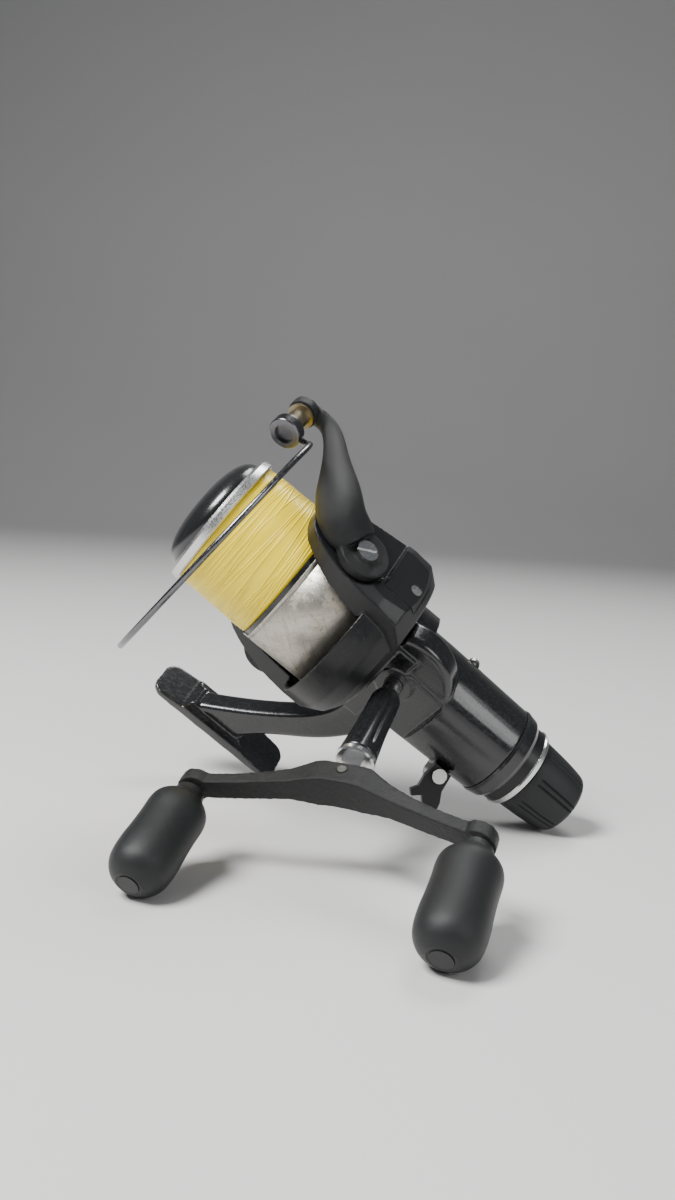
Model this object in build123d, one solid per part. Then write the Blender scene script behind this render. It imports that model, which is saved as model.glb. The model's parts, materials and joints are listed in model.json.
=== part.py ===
from build123d import *
import os
from math import atan2, cos, degrees, pi, radians, sin, sqrt, tan

# Spinning reel with rear drag and double handle, millimetres.
# It is built in its own working frame: X forward along the spool axis, Z towards the reel foot,
# Y to the left, the handle on the -Y side and the crank axis through X = 0. REST then turns the
# whole reel so that it lies on a table (+Z up) on its foot, drag knob and two handle knobs.

# ---- clearances ----
RUN = 0.05            # radial running fit of a shaft in its bore
GAP = 0.3             # gap between faces that move past each other
AIR = 0.5             # gap around the spinning rotor

# ---- spool ----
SPOOL_R = 25.5        # lip and skirt radius
LIP_X = 82.5          # front of the lip ring
LIP_W = 3.8
LIP_T = 1.6
LINE_L = 29.0         # width of the wound line
SKIRT_X0 = 11.5       # rear edge of the skirt, spool fully back
SKIRT_T = 1.7
BAND_T = 0.4
ARBOR_R = 13.0
STROKE = 10.0         # spool travel forward from rest
SHAFT_R = 2.0         # main shaft
SHAFT_END = -62.0

# ---- rotor and bail (in the rotor's own frame: +Z along the bail arm side) ----
ROTOR_ANGLE = 172.0   # turn of the rotor about X at rest
CUP_R = SPOOL_R + 6.0
CUP_X0, CUP_X1 = 8.6, 26.0
POCKET_R = SPOOL_R - SKIRT_T - 2.5     # bore of the rotor under the skirt
ARM_R = CUP_R + 4.0   # outer face of the two rotor arms
ARM_X1 = 57.0
PIVOT_X, PIVOT_Y = 37.5, 4.0     # axis the bail swings about
ROLLER = (LIP_X - 0.5, -17.5, ARM_R + 1.5)   # front face of the line roller, on its axis
ROLLER_R = 3.6
ROLLER_L = 8.5
WIRE_R = 1.0
WIRE_X = LIP_X - 6.4   # where the plane of the bail wire's loop crosses the spool axis
WIRE_TILT = (0.021, -0.059)
WIRE_LOOP_R = SPOOL_R + 23.5
WIRE_SHIFT = 7.0

# ---- gears ----
MODULE = 0.75
PINION_N = 10
DRIVE_N = 40
WORM_N = 16
RATCHET_N = 12
RATCHET_R = 8.0
PAWL_X = 15.4          # pawl pin behind the crank axis
PAWL_OFF = 26.0
OFFSET = 5.2          # crank axis below the main axis
FACE_W = 2.0
BACKLASH = 0.30
ADD = 0.45
PINION_ADD = 0.6
DEDENDUM = 0.85

# ---- body ----
TUBE_R = 18.5
TUBE_X0 = -46.0
BOX_R = 19.6
WALL = 2.0
NOSE_X = 22.8
RIGHT_Y = -13.0
LEFT_Y = 10.5
COLLAR_R = 17.0
KNOB_X0, KNOB_X1 = -58.6, -79.0
KNOB_R0, KNOB_R1 = 14.0, 12.0

# ---- foot ----
FOOT_L = 60.0
FOOT_X = 31.5
FOOT_Z = 84.0
FOOT_W = 17.0
ROD_R = 11.0

# ---- handle ----
CRANK_R = 2.6         # crank shaft
SHANK_Y0, SHANK_Y1 = -20.4, -52.0
HUB_Y = -65.0
BAR_Y = -75.5
BAR_A = 44.5          # crank axis to knob axis
KNOB_L = 37.0
KNOB_R = 9.6
SPINDLE_R = 2.0

PITCH_R = MODULE * PINION_N / 2
MESH_X = PITCH_R * DRIVE_N / PINION_N
WORM_R = MODULE * WORM_N / 2
WORM_Y = 4.0
WORM_Z = sqrt((PITCH_R + WORM_R) ** 2 - WORM_Y ** 2)
PRESSURE = radians(20)


def cyl_x(r, x0, x1, y=0.0, z=0.0, r1=None):
    plane = Plane(origin=(min(x0, x1), y, z), x_dir=(0, 1, 0), z_dir=(1, 0, 0))
    h = abs(x1 - x0)
    solid = Cylinder(r, h) if r1 is None else Cone(r, r1, h)
    return plane * (Pos(0, 0, h / 2) * solid)


def ring_x(ro, ri, x0, x1, y=0.0, z=0.0):
    return cyl_x(ro, x0, x1, y, z) - cyl_x(ri, x0 - 1, x1 + 1, y, z)


def cyl_y(r, y0, y1, x=0.0, z=0.0):
    h = abs(y1 - y0)
    return Pos(x, (y0 + y1) / 2, z) * (Rot(90, 0, 0) * Cylinder(r, h))


def cyl_z(r, z0, z1, x=0.0, y=0.0):
    return Pos(x, y, (z0 + z1) / 2) * Cylinder(r, abs(z1 - z0))


def box(x0, x1, y0, y1, z0, z1):
    return Pos((x0 + x1) / 2, (y0 + y1) / 2, (z0 + z1) / 2) * Box(
        abs(x1 - x0), abs(y1 - y0), abs(z1 - z0))


def rev_x(points):
    face = Plane.XZ * make_face(Polyline(*points, close=True))
    return revolve(face, Axis.X, 360)


def rev_y(points, x=0.0, z=0.0):
    # points are (radius, y)
    face = make_face(Polyline(*points, close=True))
    return Pos(x, 0, z) * revolve(face, Axis.Y, 360)


def soften(solid, radius, edges):
    for r in (radius, radius / 2):
        try:
            return solid.fillet(r, edges)
        except ValueError:
            pass
    return solid


# ---- gear teeth ----
def spur(teeth, add, width, thin, bore, start, turn=0.0):
    # spur gear along X with involute flanks; thin is taken off each tooth at the pitch circle
    rp = MODULE * teeth / 2
    rb = rp * cos(PRESSURE)
    half = (pi * MODULE / 2 - thin) / 2 / rp + tan(PRESSURE) - PRESSURE
    pts = []
    for k in range(teeth):
        mid = 2 * pi * k / teeth + radians(turn)
        flank = []
        for i in range(5):
            r = rb + (rp + add - rb) * i / 4
            a = sqrt(max((r / rb) ** 2 - 1, 0.0))
            flank.append((r, half - (a - atan2(a, 1))))
        root = rp - DEDENDUM
        pts += [(root, mid - half)] + [(r, mid - w) for r, w in flank]
        pts += [(r, mid + w) for r, w in reversed(flank)] + [(root, mid + half)]
    poly = make_face(Polyline(*[(r * cos(a), r * sin(a)) for r, a in pts], close=True))
    plane = Plane(origin=(start, 0, 0), x_dir=(0, 1, 0), z_dir=(1, 0, 0))
    return plane * extrude(poly, width) - cyl_x(bore, start - 1, start + width + 1)


def face_gear():
    # bars tangent to a circle of the offset radius, so that they lie along the pinion in mesh
    w = (pi * MODULE / 2 - BACKLASH) / 2
    tip, root = PITCH_R - ADD, PITCH_R + PINION_ADD + 0.2
    disc = cyl_y(MESH_X + FACE_W, root, root + 2.2)
    top, low = w - ADD * tan(PRESSURE), w + (root - PITCH_R) * tan(PRESSURE)
    bar_face = make_face(Polyline((tip, OFFSET - top), (tip, OFFSET + top), (root + 0.2, OFFSET + low),
                                  (root + 0.2, OFFSET - low), close=True))
    plane = Plane(origin=(MESH_X - FACE_W / 2, 0, 0), x_dir=(0, 1, 0), z_dir=(1, 0, 0))
    bar = plane * extrude(bar_face, FACE_W)
    gear = disc + [Rot(0, 360 / DRIVE_N * k, 0) * bar for k in range(DRIVE_N)]
    return Pos(0, 0, -OFFSET) * mirror(gear, Plane.XZ)


# ---- housing ----
def envelope():
    # what the case may fill beside the spinning rotor
    r = POCKET_R - AIR
    return rev_x([(-60, 0), (-60, 45), (CUP_X0 - AIR, 45), (CUP_X0 - AIR, r + 2.1),
                  (CUP_X0 + 0.2, r + 2.1), (CUP_X0 + 3.0, r), (NOSE_X, r), (NOSE_X, 0)])


def housing_outer():
    tube = cyl_x(TUBE_R - 1.0, TUBE_X0, -10, r1=TUBE_R) + cyl_x(TUBE_R, -10, CUP_X0 - AIR)
    gearbox = cyl_y(BOX_R, RIGHT_Y, -1.4, 0, -OFFSET)
    gearbox = soften(gearbox, 2.5, gearbox.edges())
    nose = cyl_x(POCKET_R - AIR, 0, NOSE_X) + cyl_x(POCKET_R - AIR + 2.0, 0, CUP_X0 + 0.2)
    return (tube + gearbox + nose) & envelope()


def stem():
    side = make_face([
        Spline((-13, 12), (-10, 30), (2, 52), (16, 68), (22, FOOT_Z - 5)),
        Line((22, FOOT_Z - 5), (44, FOOT_Z - 5)),
        Spline((44, FOOT_Z - 5), (32, 68), (17, 52), (7.4, 38), (6.8, 12)),
        Line((6.8, 12), (-13, 12))])
    blade = extrude(Plane.XZ * side, 5.2, both=True)
    long_edges = [e for e in blade.edges() if e.length > 40]
    return soften(blade, 2.6, long_edges)


def foot():
    x0, x1 = FOOT_X - FOOT_L / 2, FOOT_X + FOOT_L / 2
    z = FOOT_Z
    side = make_face(Polyline((x0, z), (x1, z), (x1, z - 2.0), (x1 - 14, z - 3.6), (FOOT_X + 13, z - 6.2),
                              (FOOT_X - 9, z - 6.2), (x0 + 14, z - 3.6), (x0, z - 2.0), close=True))
    plan = RectangleRounded(FOOT_L, FOOT_W, 5.5)
    slab = extrude(Plane.XZ * side, FOOT_W, both=True)
    waist = Pos(FOOT_X, 0, z - 20) * extrude(plan, 40)
    seat = cyl_x(ROD_R, x0 - 5, x1 + 5, 0, z + ROD_R - 1.6)
    belly = cyl_x(ROD_R + 2.2, x0 - 5, x1 + 5, 0, z + ROD_R - 4.2) + box(x0, x1, -5, 5, z - 10, z)
    return ((slab & waist) - seat) & (belly + box(x0, x1, -FOOT_W, FOOT_W, z - 4.4, z + 1))


def cavity():
    gear_room = cyl_y(MESH_X + FACE_W / 2 + 1.2, RIGHT_Y + 2.6, -2.9, 0, -OFFSET)
    inner = rev_x([(-60, 0), (-60, 45), (CUP_X0 - 0.6, 45), (CUP_X0 - 0.6, 21.25), (CUP_X0 + 0.4, 21.2),
                   (CUP_X0 + 3.0, 19.3), (17.3, 19.3), (17.3, 0)])
    front = cyl_x(15.6, -38.6, 17.3) + cyl_x(16.7, 4.9, 9.2)
    front = front & box(-50, 30, RIGHT_Y + 1.6, 30, -30, 30)
    rear = cyl_x(14.2, TUBE_X0 - 1, -41.4)
    return ((gear_room + front) & inner) + rear


def rod_lug():
    lug = box(-1.8, 1.6, -2.4, 9.5, 4.6, 16.5) & cyl_x(16.6, -3, 3)
    return lug


ROD_Y, ROD_Z, ROD_PIN_R = -0.9, 13.3, 1.2
SCREWS = [(-13.4, 13.4), (-20.5, -13.4), (2.6, 13.6)]
LEVER_X = -33.8
LEVER_R = 20.5
LEVER_DIR = (-0.7071, 0.7071)
FACE_DIR = (-0.7071, -0.7071)


def lever_plane(out):
    # plane on the side of the tube that carries the anti-reverse lever; its normal faces out
    y = LEVER_DIR[0] * LEVER_R + FACE_DIR[0] * out
    z = LEVER_DIR[1] * LEVER_R + FACE_DIR[1] * out
    return Plane(origin=(LEVER_X, y, z), x_dir=(1, 0, 0), z_dir=(0, FACE_DIR[0], FACE_DIR[1]))


outer = housing_outer()
opening = box(-24, CUP_X0 - AIR - 1.2, LEFT_Y, 40, -30, 16.5)
lug = lever_plane(-3) * (Pos(0, 0, 4.1) * Cylinder(3.3, 8.2) + Pos(0, -3, 4.1) * Box(6.6, 6, 8.2))
right_flat = box(-17, CUP_X0 - AIR - 0.7, -30, RIGHT_Y - 1.2, -30, 30)
right_boss = cyl_y(6.6, RIGHT_Y + 1, RIGHT_Y - 1.7, 0, -OFFSET)
case = (outer - right_flat) + stem() + foot() + lug + right_boss
case -= opening
case -= cavity()
case += rod_lug()
bear_r = 5.0
case -= cyl_y(bear_r, RIGHT_Y + 0.2, RIGHT_Y + 3, 0, -OFFSET)
case -= cyl_y(CRANK_R + GAP, RIGHT_Y - 4, RIGHT_Y + 4, 0, -OFFSET)
case -= cyl_x(8.0, 18.4, NOSE_X + 1) + cyl_x(6.4, 17, 20)
case -= cyl_x(SHAFT_R + GAP, -45, -35)
case -= cyl_x(1.5 + RUN, -45, 5, WORM_Y, WORM_Z)
case -= cyl_x(ROD_PIN_R, -41, 3, ROD_Y, ROD_Z)
case -= lever_plane(2) * Cylinder(1.5 + RUN, 40)
case -= Pos(-PAWL_X, 0, -OFFSET) * cyl_y(1.2, RIGHT_Y + 1, 0)
for sx, sz in SCREWS:
    case += cyl_y(2.6, LEFT_Y - 2.4, LEFT_Y, sx, sz) & (outer - opening)
    case -= cyl_y(1.15, LEFT_Y - 3, LEFT_Y + 1, sx, sz)

inside = cyl_x(15.6, -22, 3)
cover = (outer & box(-24 + 0.05, CUP_X0 - AIR - 1.25, LEFT_Y, 40, -30, 16.45)) - inside
cover += cyl_y(6.6, LEFT_Y, LEFT_Y + 5.4, 0, -OFFSET)
cover -= cyl_y(bear_r, LEFT_Y - 1, LEFT_Y + 3.0, 0, -OFFSET)
cover -= cyl_y(4.0, LEFT_Y + 2, 40, 0, -OFFSET)
cover_screws = []
for sx, sz in SCREWS:
    cover -= cyl_y(1.3, LEFT_Y - 1, 40, sx, sz) + cyl_y(2.5, LEFT_Y + 1.2, 40, sx, sz)
    screw = cyl_y(1.15, LEFT_Y - 2.2, LEFT_Y + 1.2, sx, sz) + cyl_y(2.3, LEFT_Y + 1.2, LEFT_Y + 2.4, sx, sz)
    cover_screws.append(screw - box(sx - 3, sx + 3, LEFT_Y + 1.9, LEFT_Y + 4, sz - 0.35, sz + 0.35))
left_cap = cyl_y(3.95, LEFT_Y + 4.2, TUBE_R + 0.8, 0, -OFFSET)
left_cap = soften(left_cap, 0.8, left_cap.edges().sort_by(Axis.Y)[-1:])
crank_bearings = [Pos(0, y, -OFFSET) * (
    Rot(90, 0, 0) * (Cylinder(bear_r, 2.6) - Cylinder(CRANK_R + RUN, 4))) for y in (RIGHT_Y + 1.5, LEFT_Y + 1.7)]
pinion_bearing = ring_x(8.0, 3.4 + RUN, 18.6, 22.0)
bearing_plate = ring_x(11.5, 4.2, NOSE_X, NOSE_X + 0.6)
guide_rod = cyl_x(ROD_PIN_R, -40.8, 1.5, ROD_Y, ROD_Z)

rear_collar = rev_x([(-45.9, 14.2), (-45.9, COLLAR_R + 0.6), (-47.0, COLLAR_R + 0.9), (-50.6, COLLAR_R + 0.2),
                     (-52.0, COLLAR_R - 0.8), (-52.0, 11.0), (-47, 11.0), (-47, 14.2)])
case -= cyl_x(COLLAR_R + 3, -60, -45.9)
seal_ring = rev_x([(-52.1, 11.0), (-52.1, 15.6), (-55.8, 15.4), (-55.8, 11.0)])
silver_ring = rev_x([(-55.9, 11.0), (-55.9, 15.6), (-56.4, 15.9), (-57.9, 15.3), (-58.3, 14.6),
                     (-58.3, 11.0)])

# ---- rear drag ----
key_hole = cyl_x(SHAFT_R + RUN, -53, -41) & box(-53, -41, -3, 3, -1.5 - RUN, 1.5 + RUN)
drag_hub = cyl_x(5.6, -51.5, -42.2) + cyl_x(9.6, -45.0, -43.4) - key_hole
drag_washers = [ring_x(9.4, 5.6 + RUN, x, x + 0.9) for x in (-46.2, -47.4, -48.6)]
spring_r = 7.4
coils = Helix(pitch=1.7, height=5.1, radius=spring_r)
drag_spring = sweep(Plane(coils @ 0, z_dir=coils % 0) * Circle(0.5), path=coils)
drag_spring = Pos(-54.7, 0, 0) * (Rot(0, 90, 0) * drag_spring)
knob_bore = 3.2
drag_knob = rev_x([(KNOB_X0, knob_bore), (KNOB_X0, KNOB_R0), (KNOB_X0 - 12, KNOB_R0 - 0.7),
                   (KNOB_X1 + 2.4, KNOB_R1 + 0.3), (KNOB_X1 + 0.9, KNOB_R1 - 0.5), (KNOB_X1, KNOB_R1 - 2.2),
                   (KNOB_X1, 0), (-70, 0), (-70, knob_bore)])
for k in range(8):
    for da in (-5, 5):
        groove = box(KNOB_X1 - 1, KNOB_X0 - 3.5, -0.55, 0.55, KNOB_R1 + 0.9, KNOB_R0 + 3)
        drag_knob -= Rot(45 * k + da, 0, 0) * groove
knob_screw = ring_x(10.6, 6.8, -58.55, -55.2)

# ---- crank and drive gear ----
drive_gear = face_gear()
drive_gear += cyl_y(CRANK_R, -16.4, LEFT_Y + 3.2, 0, -OFFSET)
for k in range(6):
    drive_gear -= Pos(0, 0, -OFFSET) * (Rot(0, 60 * k, 0) * cyl_y(2.4, -4, -7, 9.2, 0))
ratchet_pts = []
for k in range(RATCHET_N):
    for r, a in ((RATCHET_R, -18), (RATCHET_R - 1.6, -8), (RATCHET_R - 1.6, 8.4), (RATCHET_R, 8.4)):
        way = radians(360 / RATCHET_N * k + a)
        ratchet_pts.append((r * cos(way), r * sin(way)))
ratchet = extrude(make_face(Polyline(*ratchet_pts, close=True)), 1.0, both=True)
ratchet = Pos(0, RIGHT_Y + 4.6, -OFFSET) * (Rot(90, 0, 0) * ratchet) - cyl_y(CRANK_R, -14, 0, 0, -OFFSET)
# the stop pawl stands off the wheel at rest; turned by PAWL_OFF it drops into a notch
pawl_pin = cyl_y(1.2, RIGHT_Y + 2.2, RIGHT_Y + 5.8)
pawl = box(0, PAWL_X - RATCHET_R + 0.7, RIGHT_Y + 3.7, RIGHT_Y + 5.5, -0.6, 0.6)
pawl = pawl + cyl_y(2.3, RIGHT_Y + 3.7, RIGHT_Y + 5.5) - cyl_y(1.2 + RUN, -20, 0)
pawl_pin = Pos(-PAWL_X, 0, -OFFSET) * pawl_pin
pawl = Pos(-PAWL_X, 0, -OFFSET) * (Rot(0, -PAWL_OFF, 0) * pawl)
collar = cyl_y(3.3, -14.9, SHANK_Y0, 0, -OFFSET) - cyl_y(CRANK_R, -16.4, -14, 0, -OFFSET)
shank = rev_y([(0, SHANK_Y0), (3.9, SHANK_Y0), (4.9, SHANK_Y0 - 3), (5.1, SHANK_Y0 - 7), (5.4, SHANK_Y1 + 14),
               (6.2, SHANK_Y1 + 1.0), (6.0, SHANK_Y1), (0, SHANK_Y1)], 0, -OFFSET)
for k in range(8):
    flute = Rot(0, 45 * k + 10, 0) * (Pos(6.1, (SHANK_Y0 + SHANK_Y1) / 2 - 1, 0) * (
        Rot(0, 0, -1.6) * (Rot(90, 0, 0) * Cylinder(1.0, 21))))
    shank -= Pos(0, 0, -OFFSET) * flute
shank_ring = rev_y([(0, SHANK_Y1), (6.0, SHANK_Y1), (6.4, SHANK_Y1 - 0.5), (6.4, SHANK_Y1 - 1.8),
                    (5.9, SHANK_Y1 - 2.3), (0, SHANK_Y1 - 2.3)], 0, -OFFSET)
FORK_Y = SHANK_Y1 - 11.2
tongue = box(-3.6, 3.6, SHANK_Y1 - 2.3, FORK_Y - 3.4, -2.3, 2.3)
tongue = tongue & (cyl_z(3.4, -3, 3, 0, FORK_Y) + box(-3.4, 3.4, SHANK_Y1 - 2, FORK_Y, -3, 3))
tongue -= cyl_z(1.4, -4, 4, 0, FORK_Y)
fold_pin = cyl_z(1.4, -5.7, 5.7, 0, FORK_Y) + cyl_z(2.1, 5.6, 6.6, 0, FORK_Y)


def crossbar():
    side = make_face([
        Spline((-BAR_A - 5, BAR_Y + 2.4), (-BAR_A * 0.55, BAR_Y + 7.6), (-9, HUB_Y + 4.2)),
        Polyline((-9, HUB_Y + 4.2), (-6.0, FORK_Y + 2.7), (6.0, FORK_Y + 2.7), (9, HUB_Y + 4.2)),
        Spline((9, HUB_Y + 4.2), (BAR_A * 0.55, BAR_Y + 7.6), (BAR_A + 5, BAR_Y + 2.4)),
        Line((BAR_A + 5, BAR_Y + 2.4), (BAR_A + 5, BAR_Y - 2.2)),
        Spline((BAR_A + 5, BAR_Y - 2.2), (BAR_A * 0.5, BAR_Y + 3.4), (0, HUB_Y - 3.4),
               (-BAR_A * 0.5, BAR_Y + 3.4), (-BAR_A - 5, BAR_Y - 2.2)),
        Line((-BAR_A - 5, BAR_Y - 2.2), (-BAR_A - 5, BAR_Y + 2.4))])
    edge = [(-BAR_A, 3.2), (-16, 3.8), (-7, 5.6), (7, 5.6), (16, 3.8), (BAR_A, 3.2)]
    plan = make_face(Polyline(*edge, *[(x, -z) for x, z in reversed(edge)], close=True))
    plan += [Pos(s * BAR_A, 0) * Circle(5.0) for s in (-1, 1)]
    bar = extrude(side, 8, both=True) & (Pos(0, -40, 0) * (Rot(90, 0, 0) * extrude(plan, 60)))
    bar -= box(-7, 7, FORK_Y - 3.7, FORK_Y + 8, -2.4, 2.4) + cyl_z(1.4, -9, 9, 0, FORK_Y)
    for s in (-1, 1):
        bar -= cyl_y(SPINDLE_R, BAR_Y - 6, BAR_Y + 8, s * BAR_A, 0)
    return bar


bar = crossbar()
END_Y = BAR_Y - 2.6
spindles, knobs, plugs = [], [], []
for s in (1, -1):
    x = s * BAR_A
    spindles.append(cyl_y(SPINDLE_R, BAR_Y + 3.4, END_Y - KNOB_L + 5.0, x)
                    + cyl_y(2.9, BAR_Y + 3.4, BAR_Y + 4.4, x)
                    + cyl_y(2.9, END_Y - KNOB_L + 5.0, END_Y - KNOB_L + 4.0, x))
    body = rev_y([(SPINDLE_R + RUN, END_Y), (4.3, END_Y), (4.9, END_Y - 2.2), (6.4, END_Y - 4.0),
                  (8.6, END_Y - 6.6), (KNOB_R - 0.3, END_Y - 9.5), (KNOB_R - 0.3, END_Y - 16),
                  (KNOB_R, END_Y - 25), (KNOB_R - 0.3, END_Y - 30), (KNOB_R - 1.5, END_Y - 33.6),
                  (KNOB_R - 4.2, END_Y - 36.2), (3.2, END_Y - KNOB_L), (3.2, END_Y - KNOB_L + 5.2),
                  (SPINDLE_R + RUN, END_Y - KNOB_L + 5.2)], x)
    knobs.append(body)
    plugs.append(cyl_y(3.2, END_Y - KNOB_L + 2.0, END_Y - KNOB_L - 0.2, x))

# ---- pinion, worm and carriage ----
pinion = spur(PINION_N, PINION_ADD, 11.6, 0, SHAFT_R + RUN, 5.4, turn=180 / PINION_N)
flats = Rot(ROTOR_ANGLE, 0, 0) * box(22, 30, -2.6, 2.6, -5, 5)
front = cyl_x(3.4, 17.0, 23.0) + (cyl_x(3.4, 22.9, 29.0) & flats)
pinion += front + cyl_x(2.6, 29, 32.5) - cyl_x(SHAFT_R + RUN, 0, 40)
mesh_way = degrees(atan2(WORM_Z, WORM_Y))
lead = (mesh_way - 180 / PINION_N) % (360 / PINION_N) * PITCH_R / WORM_R
worm_gear = spur(WORM_N, 0.5, 2.6, BACKLASH, 1.5, 5.7, turn=mesh_way + 180 + lead + 180 / WORM_N)
worm_gear = Pos(0, WORM_Y, WORM_Z) * worm_gear
worm_shaft = cyl_x(1.5, -41.6, 9.2, WORM_Y, WORM_Z) + cyl_x(2.8, -38.0, -12.0, WORM_Y, WORM_Z)
for hand in (True, False):
    track = Helix(pitch=6.0, height=STROKE + 8.0, radius=2.8, lefthand=hand)
    cutter = sweep(Plane(track @ 0, z_dir=track % 0) * Rectangle(1.0, 1.0), path=track, is_frenet=True)
    worm_shaft -= Pos(-36.0, WORM_Y, WORM_Z) * (Rot(0, 90, 0) * cutter)
SLIDE_X0, SLIDE_X1 = -37.6, -30.8
slider = box(SLIDE_X0, SLIDE_X1, -2.6, 10.0, -4.2, 15.2) & cyl_x(15.2, -40, -20)
slider -= cyl_x(SHAFT_R + RUN, -45, -20) + cyl_x(2.8 + GAP, -45, -20, WORM_Y, WORM_Z)
slider -= cyl_x(ROD_PIN_R + RUN, -45, -20, ROD_Y, ROD_Z)
mid = (SLIDE_X0 + SLIDE_X1) / 2
slider -= cyl_y(1.6, 11, WORM_Y, mid, WORM_Z)
slider_pawl = cyl_y(1.6, 9.6, WORM_Y + 3.3, mid, WORM_Z)
slider_pawl += cyl_y(0.45, WORM_Y + 3.3, WORM_Y + 2.86, mid, WORM_Z)

# ---- main shaft and spool ----
LINE_X1 = LIP_X - LIP_W
LINE_X0 = LINE_X1 - LINE_L
main_shaft = cyl_x(SHAFT_R, SHAFT_END, 76.0)
main_shaft -= box(SHAFT_END - 1, -40.0, -3, 3, 1.5, 3) + box(SHAFT_END - 1, -40.0, -3, 3, -3, -1.5)
shaft_clips = [ring_x(3.1, SHAFT_R, x, x + 0.9) for x in (SLIDE_X0 - 1.0, SLIDE_X1 + 0.1)]
spool_pin = cyl_z(0.9, -5.2, 5.2, 45.0, 0)
main_shaft -= cyl_z(0.9, -6, 6, 45.0, 0)
washer = ring_x(5.4, SHAFT_R, 46.1, 46.9)
spool = rev_x([(47.0, SHAFT_R + 0.02), (47.0, 7.5), (LINE_X0 - 3.0, 8.5), (LINE_X0 - 1.6, SPOOL_R - SKIRT_T - 1),
               (LINE_X0 - 4.0, SPOOL_R - SKIRT_T), (SKIRT_X0, SPOOL_R - SKIRT_T), (SKIRT_X0, SPOOL_R),
               (22.0, SPOOL_R), (22.0, SPOOL_R - BAND_T), (LINE_X0 - 1.5, SPOOL_R - BAND_T),
               (LINE_X0 - 1.5, SPOOL_R), (LINE_X0, SPOOL_R), (LINE_X0, ARBOR_R), (LINE_X1, ARBOR_R),
               (LINE_X1, SPOOL_R - LIP_T - 1.0), (LIP_X - 1.5, SPOOL_R - LIP_T - 1.0), (LIP_X - 1.5, 6.0),
               (77.0, 6.0), (77.0, SHAFT_R + 0.02)])
spool_rim = rev_x([(LINE_X1, SPOOL_R - LIP_T - 1.0), (LINE_X1, SPOOL_R - 0.6), (LINE_X1 + 0.5, SPOOL_R),
                   (LIP_X - 0.9, SPOOL_R - 0.5), (LIP_X, SPOOL_R - 1.4), (LIP_X, SPOOL_R - LIP_T - 1.0)])
spool_band = ring_x(SPOOL_R, SPOOL_R - BAND_T, 22.0, LINE_X0 - 1.5)
CAP_R = 22.0
cap_pts = [(LIP_X - 1.5, 0), (LIP_X - 1.5, CAP_R)]
cap_pts += [(LIP_X + 7.6 * sin(radians(a)), CAP_R * cos(radians(a)) ** 0.7)
            for a in (0, 15, 30, 45, 60, 72, 82)]
spool_cap = rev_x(cap_pts + [(LIP_X + 7.6, 0)])
spool_cap -= box(LIP_X - 0.4, LIP_X + 3, -1.2, 1.2, CAP_R - 3.4, CAP_R + 1)
spool_line = rev_x([(LINE_X0 + 0.1, ARBOR_R), (LINE_X0 + 0.1, SPOOL_R - 0.9), (LINE_X0 + 3, SPOOL_R - 0.3),
                    (LINE_X1 - 3, SPOOL_R - 0.7), (LINE_X1 - 0.1, SPOOL_R - 1.2), (LINE_X1 - 0.1, ARBOR_R)])

# ---- rotor, in the rotor's own frame ----
cup = rev_x([(CUP_X0, POCKET_R + 2.2), (CUP_X0, CUP_R - 6.5), (11.5, CUP_R - 2.5), (16.0, CUP_R - 0.4),
             (20.0, CUP_R), (CUP_X1, CUP_R), (CUP_X1, CUP_R - 1.6), (16.0, CUP_R - 2.0),
             (13.0, CUP_R - 3.6), (10.6, SPOOL_R + 0.7), (10.6, POCKET_R + 1.6),
             (NOSE_X + 3.6, POCKET_R + 1.2), (NOSE_X + 3.6, 7.0), (29.0, 7.0), (29.0, 0), (NOSE_X + 1.0, 0),
             (NOSE_X + 1.0, POCKET_R), (CUP_X0 + 3.0, POCKET_R)])


def arm(side):
    # one of the two arms that carry the bail, along side * Z
    out = make_face([
        Spline((CUP_X0 + 1.5, -15), (20, -16.0), (34, -14.5), (ARM_X1 - 5, -12.0)),
        Spline((ARM_X1 - 5, -12.0), (ARM_X1, -7), (ARM_X1, 3), (ARM_X1 - 4, 8.0)),
        Spline((ARM_X1 - 4, 8.0), (40, 13.5), (24, 16.0), (CUP_X0 + 1.5, 17)),
        Line((CUP_X0 + 1.5, 17), (CUP_X0 + 1.5, -15))])
    block = extrude(out, 50)
    inner = SPOOL_R + 2.5
    shell = rev_x([(CUP_X0 + 1.5, inner - 0.8), (CUP_X0 + 1.5, CUP_R), (16, ARM_R + 1.0),
                   (24, ARM_R + 1.4), (ARM_X1 - 7, ARM_R), (ARM_X1 + 1, ARM_R - 3),
                   (ARM_X1 + 1, inner), (CUP_X1, inner), (CUP_X1, inner + 1.2)])
    piece = (block & shell) & box(0, 60, -20, 20, 0, ARM_R - 0.6)
    return piece if side > 0 else mirror(piece, Plane.XY)


rotor = cup + arm(1) + arm(-1)
COVER_Z = ARM_R - 2.3
cover_block = box(CUP_X0 + 4.5, PIVOT_X - 11.4, -30, 7.5, COVER_Z, 60)
arm_covers, cover_pins = [], []
for s in (1, -1):
    pad = cover_block if s > 0 else mirror(cover_block, Plane.XY)
    arm_covers.append(rotor & pad)
    rotor -= pad
    cover_pins.append(cyl_z(1.1, s * (ARM_R - 4.1), s * (ARM_R - 1.4), 16.5, 0)
                      + cyl_z(2.0, s * (ARM_R - 1.6), s * (ARM_R - 0.9), 16.5, 0))
for i, s in enumerate((1, -1)):
    hole = cyl_z(2.05, s * (ARM_R - 1.7), s * 60, 16.5, 0) + cyl_z(1.1, s * (ARM_R - 4.5), s * 60, 16.5, 0)
    rotor -= hole
    arm_covers[i] -= hole
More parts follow.
